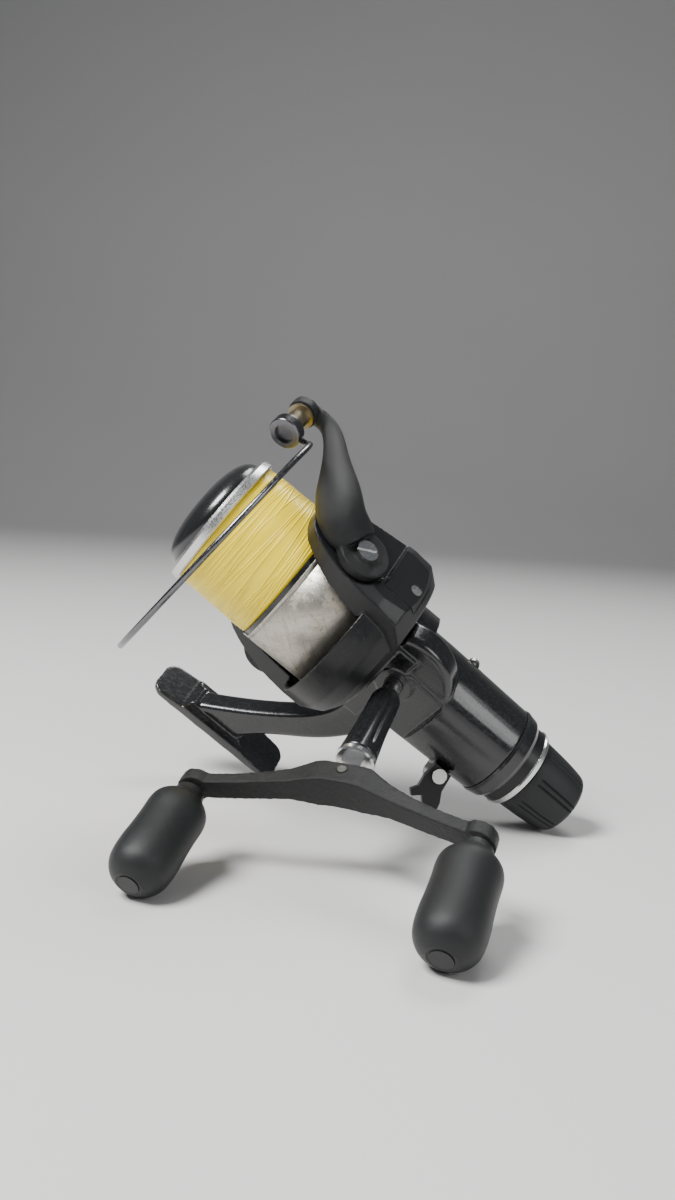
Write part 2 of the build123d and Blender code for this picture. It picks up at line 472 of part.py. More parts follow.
# recess on each arm for the parts that turn with the bail, and the pivot screw holes
SEAT_Z = ARM_R - 2.6
recess = cyl_z(10.0, SEAT_Z, 60, PIVOT_X, PIVOT_Y) + box(PIVOT_X, ARM_X1 + 3, -30, 30, SEAT_Z, 60)
recess += box(PIVOT_X - 11, PIVOT_X + 1, -30, PIVOT_Y, SEAT_Z, 60)
rotor -= recess + mirror(recess, Plane.XY)
rotor -= cyl_z(6.2, SEAT_Z - 2.4, SEAT_Z + 1, PIVOT_X, PIVOT_Y)
screw_room = box(0, 60, -5, 15, SEAT_Z - 3.6, 60)
rotor -= cyl_z(1.8, -60, 60, PIVOT_X, PIVOT_Y) & (screw_room + mirror(screw_room, Plane.XY))
rotor -= (cyl_x(3.4 + 0.02, 20, 30) & box(20, 30, -2.62, 2.62, -5, 5)) + cyl_x(2.7, 20, 30)
nut_plane = Plane(origin=(29.0, 0, 0), x_dir=(0, 1, 0), z_dir=(1, 0, 0))
rotor_nut = extrude(nut_plane * RegularPolygon(5.4, 6), 3.0)
rotor_nut -= cyl_x(2.6, 20, 40)

# ---- bail, closed at rest, in the rotor's own frame ----
BASE_Z0, BASE_Z1 = SEAT_Z + GAP, SEAT_Z + GAP + 3.6


def limb(stations):
    # tapered round limb through (x, y, z, radius) stations
    centres = [Vector(*p[:3]) for p in stations]
    faces = []
    for i, p in enumerate(stations):
        a, b = centres[max(i - 1, 0)], centres[min(i + 1, len(centres) - 1)]
        faces.append(Plane(origin=centres[i], z_dir=b - a) * Circle(p[3]))
    return loft([f.face() for f in faces])


def roller_cyl(r, y0, y1):
    return cyl_y(r, y0, y1, ROLLER[0], ROLLER[2])


HEAD_Y = ROLLER[1] - ROLLER_L - GAP
bail_arm = limb([(PIVOT_X + 4.5, 1.5, ARM_R - 1.3, 7.4), (50, -1.5, ARM_R + 0.2, 8.4),
                 (55, -7.5, ARM_R + 0.9, 7.8),
                 (61.5, -17, ARM_R + 1.5, 5.4), (67.5, -25.5, ARM_R + 1.8, 3.8),
                 (72.5, -30, ARM_R + 1.8, 3.2), (77.5, -30.5, ARM_R + 1.7, 3.3),
                 (ROLLER[0], HEAD_Y - 2.0, ROLLER[2], 3.6)])
bail_arm = bail_arm & box(20, 110, -60, 30, BASE_Z0, 80)
bail_arm += cyl_z(9.0, BASE_Z0, BASE_Z1, PIVOT_X, PIVOT_Y)
bail_arm = bail_arm - cyl_z(4.6, BASE_Z1, 80, PIVOT_X, PIVOT_Y)
bail_arm += roller_cyl(5.2, HEAD_Y, HEAD_Y - 3.6)
bail_arm -= cyl_z(1.8 + RUN, 20, 80, PIVOT_X, PIVOT_Y) + roller_cyl(1.6, HEAD_Y + 1, HEAD_Y - 6)
bail_arm -= roller_cyl(5.9, HEAD_Y, 0)
line_roller = roller_cyl(ROLLER_R, ROLLER[1], ROLLER[1] - ROLLER_L)
line_roller += roller_cyl(4.6, ROLLER[1], ROLLER[1] - 0.9) + roller_cyl(4.6, HEAD_Y + GAP, HEAD_Y + GAP + 0.9)
line_roller -= roller_cyl(2.4 + RUN, 0, -60)
roller_bush = roller_cyl(2.4, ROLLER[1] + 0.2, HEAD_Y) - roller_cyl(1.6, 0, -60)
CAP_Y = ROLLER[1] + 0.2
roller_cap = roller_cyl(5.6, CAP_Y, CAP_Y + 4.2) + roller_cyl(1.6, CAP_Y, HEAD_Y - 4.2)
roller_cap = soften(roller_cap, 0.6, [e for e in roller_cap.edges() if e.length > 30])
roller_cap -= roller_cyl(3.4, CAP_Y + 3.0, CAP_Y + 5)


def wire_point(y, z):
    return (WIRE_X + WIRE_TILT[0] * y + WIRE_TILT[1] * z, y, z)


loop = [wire_point(WIRE_SHIFT + WIRE_LOOP_R * cos(radians(a)), WIRE_LOOP_R * sin(radians(a)))
        for a in range(90, -106, -15)]
wire_path = Spline((ROLLER[0] - 3.4, CAP_Y + 1.8, ROLLER[2] + 0.4),
                   (ROLLER[0] - 6.4, CAP_Y + 2.4, ROLLER[2] + 1.4),
                   wire_point(-10.0, WIRE_LOOP_R - 5.2), *loop,
                   (WIRE_X + 1.0, -13.5, 4.4 - WIRE_LOOP_R), (WIRE_X - 2.5, -16.6, -ARM_R - 6.2),
                   (69.5, -15.8, -ARM_R - 4.0))
bail_wire = sweep(Plane(wire_path @ 0, z_dir=wire_path % 0) * Circle(WIRE_R), path=wire_path)
bail_wire -= bail_arm + roller_cap
holder = cyl_z(9.0, -BASE_Z0, -BASE_Z1, PIVOT_X, PIVOT_Y)
holder += limb([(PIVOT_X + 3.5, 2.0, 0.6 - ARM_R, 6.2), (48, -2.0, -ARM_R, 5.2),
                (57, -9.0, -0.8 - ARM_R, 3.8), (65, -14.0, -2.4 - ARM_R, 2.8), (71.5, -16.2, -4.6 - ARM_R, 2.1)])
holder = holder & box(20, 80, -40, 40, -BASE_Z0, -80)
holder -= cyl_z(4.6, -BASE_Z1, -80, PIVOT_X, PIVOT_Y) + cyl_z(1.8 + RUN, -20, -80, PIVOT_X, PIVOT_Y)
bail_wire -= holder
pivot_screws = []
for s in (1, -1):
    screw = cyl_z(1.8, s * (SEAT_Z - 3.4), s * (BASE_Z1 + 0.1))
    screw += cyl_z(3.7, s * (BASE_Z1 + 0.1), s * (BASE_Z1 + 1.5))
    slot = Rot(0, 0, 35) * box(-5, 5, -0.45, 0.45, s * (BASE_Z1 + 0.9), s * 70)
    pivot_screws.append(Pos(PIVOT_X, PIVOT_Y, 0) * (screw - slot))
turn = Helix(pitch=0.9, height=1.35, radius=4.6)
bail_spring = sweep(Plane(turn @ 0, z_dir=turn % 0) * Circle(0.35), path=turn)
bail_spring = Pos(PIVOT_X, PIVOT_Y, SEAT_Z - 1.8) * bail_spring

# ---- anti-reverse lever ----
lever_face = make_face(Polyline((-3.6, -2.8), (3.6, -2.8), (4.0, 3.0), (3.4, 7.0), (5.0, 9.6), (3.2, 11.2),
                                (0.4, 8.8), (-3.4, 12.6), (-7.2, 10.6), (-6.4, 7.0), (-4.4, 3.6), close=True))
lever = lever_plane(5.5) * extrude(lever_face, 2.4)
lever += lever_plane(-2.6) * (Pos(0, 0, 4.1) * Cylinder(1.5, 8.2))
lever_screw = lever_plane(7.9) * (Pos(0, 0, 0.8) * Cylinder(2.6, 1.6) - Pos(0, 0, 1.5) * Box(6, 0.7, 1.0))

HANDLE_NODES = {
    "crank_collar": collar, "handle_shank": shank, "shank_ring": shank_ring, "fold_tongue": tongue,
    "fold_pin": fold_pin, "crossbar": bar, "knob_spindles": spindles,
    "knob_front": knobs[0], "knob_rear": knobs[1], "plug_front": plugs[0], "plug_rear": plugs[1]}
ON_CRANK_AXIS = ("crank_collar", "handle_shank", "shank_ring")
ROTOR_NODES = {
    "rotor": rotor, "arm_cover_near": arm_covers[0], "arm_cover_far": arm_covers[1], "cover_pins": cover_pins,
    "rotor_nut": rotor_nut, "pivot_screws": pivot_screws, "bail_spring": bail_spring,
    "bail_arm": bail_arm, "bail_holder": holder, "bail_wire": bail_wire, "line_roller": line_roller,
    "roller_bush": roller_bush, "roller_cap": roller_cap}
BODY_NODES = {
    "gear_case": case, "side_cover": cover, "cover_screws": cover_screws, "bearing_cap": left_cap,
    "crank_bearings": crank_bearings, "pinion_bearing": pinion_bearing, "bearing_plate": bearing_plate,
    "guide_rod": guide_rod, "rear_collar": rear_collar, "seal_ring": seal_ring, "rear_ring": silver_ring,
    "drag_hub": drag_hub, "drag_washers": drag_washers, "drag_spring": drag_spring, "drag_knob": drag_knob,
    "drag_nut": knob_screw, "drive_gear": drive_gear, "ratchet_wheel": ratchet, "stop_pawl": pawl,
    "pawl_pin": pawl_pin, "pinion": pinion, "worm_gear": worm_gear, "worm_shaft": worm_shaft,
    "slider": slider, "slider_pawl": slider_pawl, "main_shaft": main_shaft, "shaft_clips": shaft_clips,
    "spool_pin": spool_pin, "spool_washer": washer, "spool": spool, "spool_rim": spool_rim,
    "spool_band": spool_band, "spool_cap": spool_cap, "spool_line": spool_line,
    "stop_lever": lever, "lever_screw": lever_screw}


def solids(shape):
    if isinstance(shape, (list, tuple)):
        return [s for part in shape for s in solids(part)]
    return list(shape.solids())


def lowest(points, up):
    return min(points, key=lambda p: p.dot(up))


def corners(shape, place=Location()):
    found = []
    for solid in solids(shape):
        found += (place * solid).tessellate(0.05, 0.2)[0]
    return found


def turn_crank(degs):
    return Location((0, 0, -OFFSET)) * Location((0, 0, 0), (0, degs, 0)) * Location((0, 0, OFFSET))


def handle_place(name, degs):
    shift = Location() if name in ON_CRANK_AXIS else Location((0, 0, -OFFSET))
    return turn_crank(degs) * shift


# the reel lies on the foot's rear end, the drag knob and both handle knobs: the crank angle is
# the one at which the second handle knob comes down to the plane through the other three
foot_points = [p for p in corners(case) if p.Z > FOOT_Z - 8 and p.X < FOOT_X - FOOT_L / 4]
knob_points = [p for p in corners(drag_knob) if p.X < -70]
front_points = [p for p in corners(knobs[0])]
rear_points = [p for p in corners(knobs[1])]


def rest_up(degs):
    place = handle_place("knob_front", degs)
    front = [(place * Location(p)).position for p in front_points]
    rear = [(place * Location(p)).position for p in rear_points]
    up = Vector(0.6, 0.45, -0.66).normalized()
    for _ in range(12):
        a, b, c = lowest(foot_points, up), lowest(knob_points, up), lowest(front, up)
        n = (b - a).cross(c - a).normalized()
        up = n if n.dot(up) > 0 else n * -1
    return up, a.dot(up), lowest(rear, up).dot(up) - a.dot(up)


low, high = -70.0, -15.0
sign_low = rest_up(low)[2] > 0
for _ in range(12):
    mid_angle = (low + high) / 2
    if (rest_up(mid_angle)[2] > 0) == sign_low:
        low = mid_angle
    else:
        high = mid_angle
CRANK_ANGLE = (low + high) / 2
UP, TABLE, LIFT = rest_up(CRANK_ANGLE)

# row frame: Z up off the table, Y along the horizontal way from the handle side to the far side,
# origin at the middle of the bottom of the whole reel's box
FAR = Vector(-0.10, 0.77, 0.63)
row_y = (FAR - UP * FAR.dot(UP)).normalized()
row_x = row_y.cross(UP)
spin_rotor = Location((0, 0, 0), (ROTOR_ANGLE, 0, 0))
placed = {}
for name, shape in BODY_NODES.items():
    placed[name] = (Location(), solids(shape))
for name, shape in ROTOR_NODES.items():
    placed[name] = (spin_rotor, solids(shape))
for name, shape in HANDLE_NODES.items():
    placed[name] = (handle_place(name, CRANK_ANGLE), solids(shape))


def to_row(origin):
    return Plane(origin=origin, x_dir=row_x, z_dir=UP).location.inverse()


def everything(rest):
    return Compound([rest * place * solid for place, group in placed.values() for solid in group])


extent = everything(to_row(Vector(0, 0, 0))).bounding_box(optimal=False)
middle = (extent.min + extent.max) / 2
ORIGIN = row_x * middle.X + row_y * middle.Y + UP * extent.min.Z
REST = to_row(ORIGIN)

os.makedirs("parts", exist_ok=True)
for name, (place, group) in placed.items():
    pieces = [REST * place * solid for solid in group]
    export_step(pieces[0] if len(pieces) == 1 else Compound(children=pieces), f"parts/{name}.step")
print("rest", [[round(v, 6) for v in (a.X, a.Y, a.Z)] for a in (ORIGIN, row_x, row_y, UP)],
      "crank", round(CRANK_ANGLE, 4), "mesh x", round(MESH_X, 4), "worm z", round(WORM_Z, 4))
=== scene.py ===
"""Finishes and detail for a rear-drag spinning reel that lies on its knobs, drag knob and foot."""

import json
import math

import bpy
import numpy as np
from mathutils import Matrix, Vector


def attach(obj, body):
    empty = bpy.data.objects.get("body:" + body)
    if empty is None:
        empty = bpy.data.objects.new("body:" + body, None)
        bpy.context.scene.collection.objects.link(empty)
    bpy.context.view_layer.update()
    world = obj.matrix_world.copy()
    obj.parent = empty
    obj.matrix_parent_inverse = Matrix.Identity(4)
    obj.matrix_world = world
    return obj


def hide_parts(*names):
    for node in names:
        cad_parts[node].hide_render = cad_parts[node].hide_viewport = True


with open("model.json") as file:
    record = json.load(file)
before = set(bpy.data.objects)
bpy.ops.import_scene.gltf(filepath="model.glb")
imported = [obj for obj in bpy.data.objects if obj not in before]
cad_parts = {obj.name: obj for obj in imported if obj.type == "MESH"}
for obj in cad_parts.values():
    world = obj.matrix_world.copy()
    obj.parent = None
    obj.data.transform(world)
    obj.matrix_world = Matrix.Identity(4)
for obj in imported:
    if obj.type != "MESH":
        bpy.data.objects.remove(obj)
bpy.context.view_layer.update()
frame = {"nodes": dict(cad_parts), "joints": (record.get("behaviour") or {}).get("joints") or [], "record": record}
NODES = frame["nodes"]
BODIES = frame["record"]["behaviour"]["bodies"]
JOINTS = {joint["name"]: joint for joint in frame["joints"]}

bl_info = {
    "name": "Spinning reel finishes",
    "version": (1, 0, 0),
    "blender": (4, 5, 0),
    "location": "3D View > Sidebar > Reel",
    "description": "Moulded, turned and wound pieces of a spinning reel, with their finishes",
    "category": "Object",
}

MM = 0.001

# tints that the finishes mix in
RUBBED_BLACK, RUBBED_PAINT = (0.12, 0.12, 0.115), (0.20, 0.20, 0.19)
DUST_ON_BLACK, DUST_ON_METAL = (0.30, 0.29, 0.27), (0.4, 0.38, 0.35)
FOIL_PATCH, FOIL_STREAK = (0.40, 0.33, 0.23), (0.26, 0.22, 0.17)
FOIL_SPOT, FOIL_HAIRLINE = (0.12, 0.10, 0.08), (0.86, 0.85, 0.82)
# the first wound-line tint is painted shade: a darker orange laid into the valleys between turns
LINE_VALLEY_SHADE, LINE_FIBRE = (0.70, 0.40, 0.001), (1.0, 0.92, 0.20)
FELT_DARK, FELT_PALE = (0.10, 0.085, 0.06), (0.26, 0.22, 0.17)
STUDIO_SKY, SKY_STRENGTH = (0.8, 0.84, 0.9, 1), 0.19

# corners round each turned piece
LINE_AROUND, FOIL_AROUND, CAP_AROUND = 300, 240, 160
DRAG_AROUND, SHANK_AROUND, GRIP_AROUND = 480, 192, 128

# wound line: seed of the crossing turns, rows of corners to a turn, and shares of the pitch
LINE_SEED, ROWS_PER_TURN = 11, 5
VALLEY_SHARE, STRAND_SHARE = 0.30, 0.62
CROSSING_SLOPE = 7 * MM

# drag knob: panels round it, and each groove's half width and place beside a panel's joint, degrees
KNOB_PANELS, GROOVE_HALF, GROOVE_OFF = 8, 1.5, 4.6

# handle shank: flutes round it, where they fade out at both ends, and its narrow socket
FLUTES, FLUTE_INSET, FLUTE_FADE, SHANK_SOCKET_R = 8, 3.0 * MM, 2.0 * MM, 3 * MM

# handle knob: radius of its end plug and of its bore, and the bore's depth
PLUG_R, KNOB_BORE_R, KNOB_BORE = 3.25 * MM, 2.1 * MM, 5.2 * MM


# ---------------------------------------------------------------- frames of the reel's own axes

def joint_axis(name):
    return Vector(JOINTS[name]["axis"]).normalized()


def joint_point(name):
    return Vector(JOINTS[name]["pos_m"])


def frame_of(origin, x_way, y_way):
    """A placing matrix with its X along x_way, its Y near y_way and its origin at origin."""
    x = x_way.normalized()
    z = x.cross(y_way).normalized()
    y = z.cross(x)
    matrix = Matrix((x, y, z)).transposed().to_4x4()
    matrix.translation = origin
    return matrix


SPOOL_FRAME = frame_of(joint_point("rotor_spin"), joint_axis("rotor_spin"),
                       joint_axis("crank_spin"))
CRANK_FRAME = frame_of(joint_point("crank_spin"), -joint_axis("crank_spin"),
                       joint_point("front_knob_spin") - joint_point("rear_knob_spin"))


def local_points(node, matrix):
    """The corner points of a CAD node in the axes of matrix."""
    points = np.array([v.co for v in NODES[node].data.vertices], float)
    inverse = np.array(matrix.inverted())
    return points @ inverse[:3, :3].T + inverse[:3, 3]


def span(node, matrix):
    """Start, end and largest radius of a turned CAD node whose axis is the X of matrix."""
    points = local_points(node, matrix)
    return points[:, 0].min(), points[:, 0].max(), np.hypot(points[:, 1], points[:, 2]).max()


# ---------------------------------------------------------------- what the user may change

class ReelFinish(bpy.types.PropertyGroup):
    """Colours of the reel."""
    plastic: bpy.props.FloatVectorProperty(
        name="Body plastic", description="Colour of the moulded body, rotor and spool",
        default=(0.0060, 0.0064, 0.0072), size=3, min=0, max=1, subtype="COLOR")
    rubber: bpy.props.FloatVectorProperty(
        name="Knob rubber", description="Colour of the handle knobs and the drag knob",
        default=(0.0095, 0.0105, 0.0110), size=3, min=0, max=1, subtype="COLOR")
    paint: bpy.props.FloatVectorProperty(
        name="Black paint", description="Colour of the painted crossbar and bail arm",
        default=(0.0075, 0.0080, 0.0085), size=3, min=0, max=1, subtype="COLOR")
    line: bpy.props.FloatVectorProperty(
        name="Line", description="Colour of the wound line",
        default=(1.0, 0.74, 0.001), size=3, min=0, max=1, subtype="COLOR")
    foil: bpy.props.FloatVectorProperty(
        name="Foil", description="Colour of the unworn foil on the spool skirt",
        default=(0.52, 0.49, 0.43), size=3, min=0, max=1, subtype="COLOR")
    wear: bpy.props.FloatProperty(
        name="Wear", description="How far the edges and faces are worn", default=1.0, min=0, max=2,
        subtype="FACTOR")
    dust: bpy.props.FloatProperty(
        name="Dust", description="How much dust lies on the upper faces", default=1.0, min=0, max=2,
        subtype="FACTOR")


class ReelDetail(bpy.types.PropertyGroup):
    """Sizes of the detail that is made here."""
    turn_pitch: bpy.props.FloatProperty(
        name="Line turn pitch", description="From one turn of line to the next", default=0.52 * MM,
        min=0.2 * MM, max=1.5 * MM, unit="LENGTH", precision=5)
    crossings: bpy.props.IntProperty(
        name="Crossing turns", description="Loose turns that cross the wound line", default=30,
        min=0, max=80)
    groove_depth: bpy.props.FloatProperty(
        name="Drag knob groove", description="Depth of the paired grooves in the drag knob",
        default=0.75 * MM, min=0, max=2 * MM, unit="LENGTH", precision=5)
    flute_depth: bpy.props.FloatProperty(
        name="Shank flute", description="Depth of the flutes in the handle shank",
        default=0.55 * MM, min=0, max=1 * MM, unit="LENGTH", precision=5)
    voxel: bpy.props.FloatProperty(
        name="Moulding voxel", description="Voxel size used to round moulded pieces",
        default=0.36 * MM, min=0.2 * MM, max=1 * MM, unit="LENGTH", precision=5)
    cast_lumps: bpy.props.FloatProperty(
        name="Cast lumps", description="Height of the lumps in the painted crossbar",
        default=0.10 * MM, min=0, max=0.4 * MM, unit="LENGTH", precision=5)


class ReelStage(bpy.types.PropertyGroup):
    """The floor, the lights and the camera."""
    lens: bpy.props.FloatProperty(
        name="Lens", description="Focal length on a 36 mm high frame", default=28.88, min=10,
        max=200, unit="CAMERA")
    place: bpy.props.FloatVectorProperty(
        name="Camera place", description="Where the camera stands",
        default=(-0.00775, -0.30484, 0.11724), size=3, subtype="TRANSLATION", unit="LENGTH")
    turn: bpy.props.FloatVectorProperty(
        name="Camera turn", description="How the camera is turned",
        default=(math.radians(83.479), math.radians(-3.556), math.radians(0.497)), size=3,
        subtype="EULER", unit="ROTATION")
    floor: bpy.props.FloatVectorProperty(
        name="Floor", description="Colour of the pale floor", default=(0.62, 0.61, 0.6), size=3,
        min=0, max=1, subtype="COLOR")


GROUPS = (("reel_finish", ReelFinish), ("reel_detail", ReelDetail), ("reel_stage", ReelStage))


def settings(name):
    return getattr(bpy.context.scene, name)


# ---------------------------------------------------------------- shader building

def set_inputs(tree, node, values):
    """Sets a node's inputs: a socket is linked from, anything else is the input's own value."""
    for name, value in values.items():
        if isinstance(value, bpy.types.NodeSocket):
            tree.links.new(value, node.inputs[name])
        else:
            node.inputs[name].default_value = value


def add(tree, kind, values=None, **settings_of):
    """A new node with its settings and its inputs."""
    node = tree.nodes.new(kind)
    for name, value in settings_of.items():
        setattr(node, name, value)
    set_inputs(tree, node, values or {})
    return node


def maths(tree, operation, a, b=0.0):
    return add(tree, "ShaderNodeMath", {0: a, 1: b}, operation=operation).outputs[0]


def remap(tree, value, low, high, to_low=0.0, to_high=1.0):
    """A value eased from the range low to high into the range to_low to to_high."""
    node = add(tree, "ShaderNodeMapRange",
               {"Value": value, "From Min": low, "From Max": high, "To Min": to_low,
                "To Max": to_high},
               interpolation_type="SMOOTHSTEP")
    return node.outputs["Result"]


def mix(tree, factor, a, b):
    node = add(tree, "ShaderNodeMix", {"Factor": factor, "A": a, "B": b}, data_type="RGBA")
    return node.outputs["Result"]


def rgba(colour, scale=1.0):
    """A colour with its alpha, lighter or darker by scale."""
    return (colour[0] * scale, colour[1] * scale, colour[2] * scale, 1.0)


def new_group(name, inputs, outputs):
    """An empty node group with float inputs (name, default) and float or vector outputs."""
    tree = bpy.data.node_groups.new(name, "ShaderNodeTree")
    for label, default in inputs:
        if isinstance(default, tuple):
            tree.interface.new_socket(label, in_out="INPUT", socket_type="NodeSocketVector")
        else:
            socket = tree.interface.new_socket(label, in_out="INPUT", socket_type="NodeSocketFloat")
            socket.default_value = default
    for label in outputs:
        tree.interface.new_socket(label, in_out="OUTPUT", socket_type="NodeSocketFloat")
    start = tree.nodes.new("NodeGroupInput")
    end = tree.nodes.new("NodeGroupOutput")
    return tree, start, end


def build_edge_wear():
    """Mask of rubbed edges: where a rounded normal leaves the true one, broken up by noise."""
    tree, start, end = new_group("Edge Wear",
                                 [("Width", 0.0004), ("Breakup", 900.0), ("Amount", 1.0)], ["Mask"])
    bevel = add(tree, "ShaderNodeBevel", {"Radius": start.outputs["Width"]}, samples=4)
    true_normal = add(tree, "ShaderNodeNewGeometry").outputs["Normal"]
    dot = add(tree, "ShaderNodeVectorMath", {0: bevel.outputs[0], 1: true_normal},
              operation="DOT_PRODUCT").outputs["Value"]
    edge = remap(tree, dot, 0.985, 0.86)
    spots = add(tree, "ShaderNodeTexNoise", {"Scale": start.outputs["Breakup"], "Detail": 4.0})
    broken = remap(tree, spots.outputs["Fac"], 0.42, 0.6)
    mask = maths(tree, "MULTIPLY", maths(tree, "MULTIPLY", edge, broken), start.outputs["Amount"])
    tree.links.new(mask, end.inputs["Mask"])
    return tree


def build_grain():
    """Fine moulded or cast grain, with a slow mottle for colour and gloss."""
    tree, start, end = new_group("Grain", [("Scale", 2500.0), ("Pits", 0.3)], ["Height", "Mottle"])
    fine = add(tree, "ShaderNodeTexNoise", {"Scale": start.outputs["Scale"], "Detail": 5.0,
                                            "Roughness": 0.6})
    pits = add(tree, "ShaderNodeTexVoronoi",
               {"Scale": maths(tree, "MULTIPLY", start.outputs["Scale"], 0.4)})
    pit = maths(tree, "MULTIPLY", remap(tree, pits.outputs["Distance"], 0.5, 0.0),
                start.outputs["Pits"])
    tree.links.new(maths(tree, "SUBTRACT", fine.outputs["Fac"], pit), end.inputs["Height"])
    slow = add(tree, "ShaderNodeTexNoise",
               {"Scale": maths(tree, "MULTIPLY", start.outputs["Scale"], 0.04), "Detail": 6.0,
                "Roughness": 0.65})
    tree.links.new(slow.outputs["Fac"], end.inputs["Mottle"])
    return tree


def build_scratches():
    """Mask of hairline scratches that run in three ways over the surface."""
    tree, start, end = new_group("Scratches",
                                 [("Vector", (0, 0, 0)), ("Scale", 60.0), ("Amount", 0.5)],
                                 ["Mask"])
    total = None
    for turn, stretch in ((0.3, 14.0), (1.35, 20.0), (2.4, 11.0)):
        spun = add(tree, "ShaderNodeVectorRotate",
                   {"Vector": start.outputs["Vector"], "Angle": turn, "Axis": (0.3, 0.9, 0.4)})
        place = add(tree, "ShaderNodeVectorMath", {0: spun.outputs[0], 1: (1.0, stretch, stretch)},
                    operation="MULTIPLY")
        lines = add(tree, "ShaderNodeTexNoise",
                    {"Vector": place.outputs[0], "Scale": start.outputs["Scale"], "Detail": 1.0})
        away = maths(tree, "ABSOLUTE", maths(tree, "SUBTRACT", lines.outputs["Fac"], 0.5))
        hair = remap(tree, away, 0.006, 0.0)
        total = hair if total is None else maths(tree, "MAXIMUM", total, hair)
    patches = add(tree, "ShaderNodeTexNoise",
                  {"Scale": maths(tree, "MULTIPLY", start.outputs["Scale"], 2.5), "Detail": 2.0})
    where = remap(tree, patches.outputs["Fac"], 0.5, 0.62)
    mask = maths(tree, "MULTIPLY", maths(tree, "MULTIPLY", total, where), start.outputs["Amount"])
    tree.links.new(mask, end.inputs["Mask"])
    return tree


def build_dust():
    """Mask of dust: a thin film and specks on faces that look up."""
    tree, start, end = new_group("Dust", [("Amount", 0.5)], ["Mask"])
    normal = add(tree, "ShaderNodeNewGeometry").outputs["Normal"]
    up = add(tree, "ShaderNodeSeparateXYZ", {0: normal}).outputs["Z"]
    film = remap(tree, up, 0.1, 1.0, 0.01, 0.16)
    cloud = add(tree, "ShaderNodeTexNoise", {"Scale": 320.0, "Detail": 8.0, "Roughness": 0.7})
    film = maths(tree, "MULTIPLY", film, remap(tree, cloud.outputs["Fac"], 0.38, 0.7))
    specks = add(tree, "ShaderNodeTexVoronoi", {"Scale": 900.0, "Randomness": 1.0})
    speck = remap(tree, specks.outputs["Distance"], 0.13, 0.06)
    rare = add(tree, "ShaderNodeSeparateColor", {0: specks.outputs["Color"]}).outputs[0]
    speck = maths(tree, "MULTIPLY", speck, remap(tree, rare, 0.86, 0.9))
    mask = maths(tree, "MULTIPLY", maths(tree, "ADD", film, speck), start.outputs["Amount"])
    tree.links.new(mask, end.inputs["Mask"])
    return tree


def build_turned_rings():
    """Fine rings round the X of the given axes, as a lathe or a brush leaves them."""
    tree, start, end = new_group("Turned Rings", [("Vector", (0, 0, 0)), ("Rings", 3000.0)],
                                 ["Height", "Band"])
    parts = add(tree, "ShaderNodeSeparateXYZ", {0: start.outputs["Vector"]})
    around = maths(tree, "ADD", maths(tree, "POWER", parts.outputs["Y"], 2.0),
                   maths(tree, "POWER", parts.outputs["Z"], 2.0))
    radius = maths(tree, "SQRT", around)
    key = add(tree, "ShaderNodeCombineXYZ", {0: parts.outputs["X"], 1: radius, 2: 0.0})
    rings = add(tree, "ShaderNodeTexNoise",
                {"Vector": key.outputs[0], "Scale": start.outputs["Rings"], "Detail": 3.0})
    tree.links.new(rings.outputs["Fac"], end.inputs["Height"])
    band = add(tree, "ShaderNodeTexNoise",
               {"Vector": key.outputs[0],
                "Scale": maths(tree, "MULTIPLY", start.outputs["Rings"], 0.12)})
    tree.links.new(band.outputs["Fac"], end.inputs["Band"])
    return tree


GROUP_MAKERS = {"Edge Wear": build_edge_wear, "Grain": build_grain, "Scratches": build_scratches,
                "Dust": build_dust, "Turned Rings": build_turned_rings}


def group(tree, name, values=None):
    """Places a shared group, which is built the first time."""
    shared = bpy.data.node_groups.get(name) or GROUP_MAKERS[name]()
    node = tree.nodes.new("ShaderNodeGroup")
    node.node_tree = shared
    set_inputs(tree, node, values or {})
    return node.outputs


def own_axes(tree, matrix):
    """Object coordinates turned into the axes of matrix, for pieces that keep the reel's frame."""
    inverse = matrix.inverted()
    place = add(tree, "ShaderNodeTexCoord").outputs["Object"]
    turned = add(tree, "ShaderNodeMapping",
                 {"Vector": place, "Location": inverse.translation, "Rotation": inverse.to_euler()})
    return turned.outputs[0]


def start_material(name):
    """A new material with an empty tree, its Principled shader and its object coordinates."""
    material = bpy.data.materials.new(name)
    material.use_nodes = True
    tree = material.node_tree
    tree.nodes.clear()
    shader = tree.nodes.new("ShaderNodeBsdfPrincipled")
    output = tree.nodes.new("ShaderNodeOutputMaterial")
    tree.links.new(shader.outputs[0], output.inputs["Surface"])
    place = add(tree, "ShaderNodeTexCoord").outputs["Object"]
    return material, tree, shader, place


def feed(tree, shader, **values):
    """Sets or links the shader's inputs; underscores stand for spaces."""
    set_inputs(tree, shader, {name.replace("_", " "): value for name, value in values.items()})


def bump(tree, shader, height, distance, strength):
    """Feeds a height that is distance deep, in metres, to the shader's normal."""
    node = add(tree, "ShaderNodeBump",
               {"Height": height, "Distance": distance, "Strength": strength})
    tree.links.new(node.outputs[0], shader.inputs["Normal"])


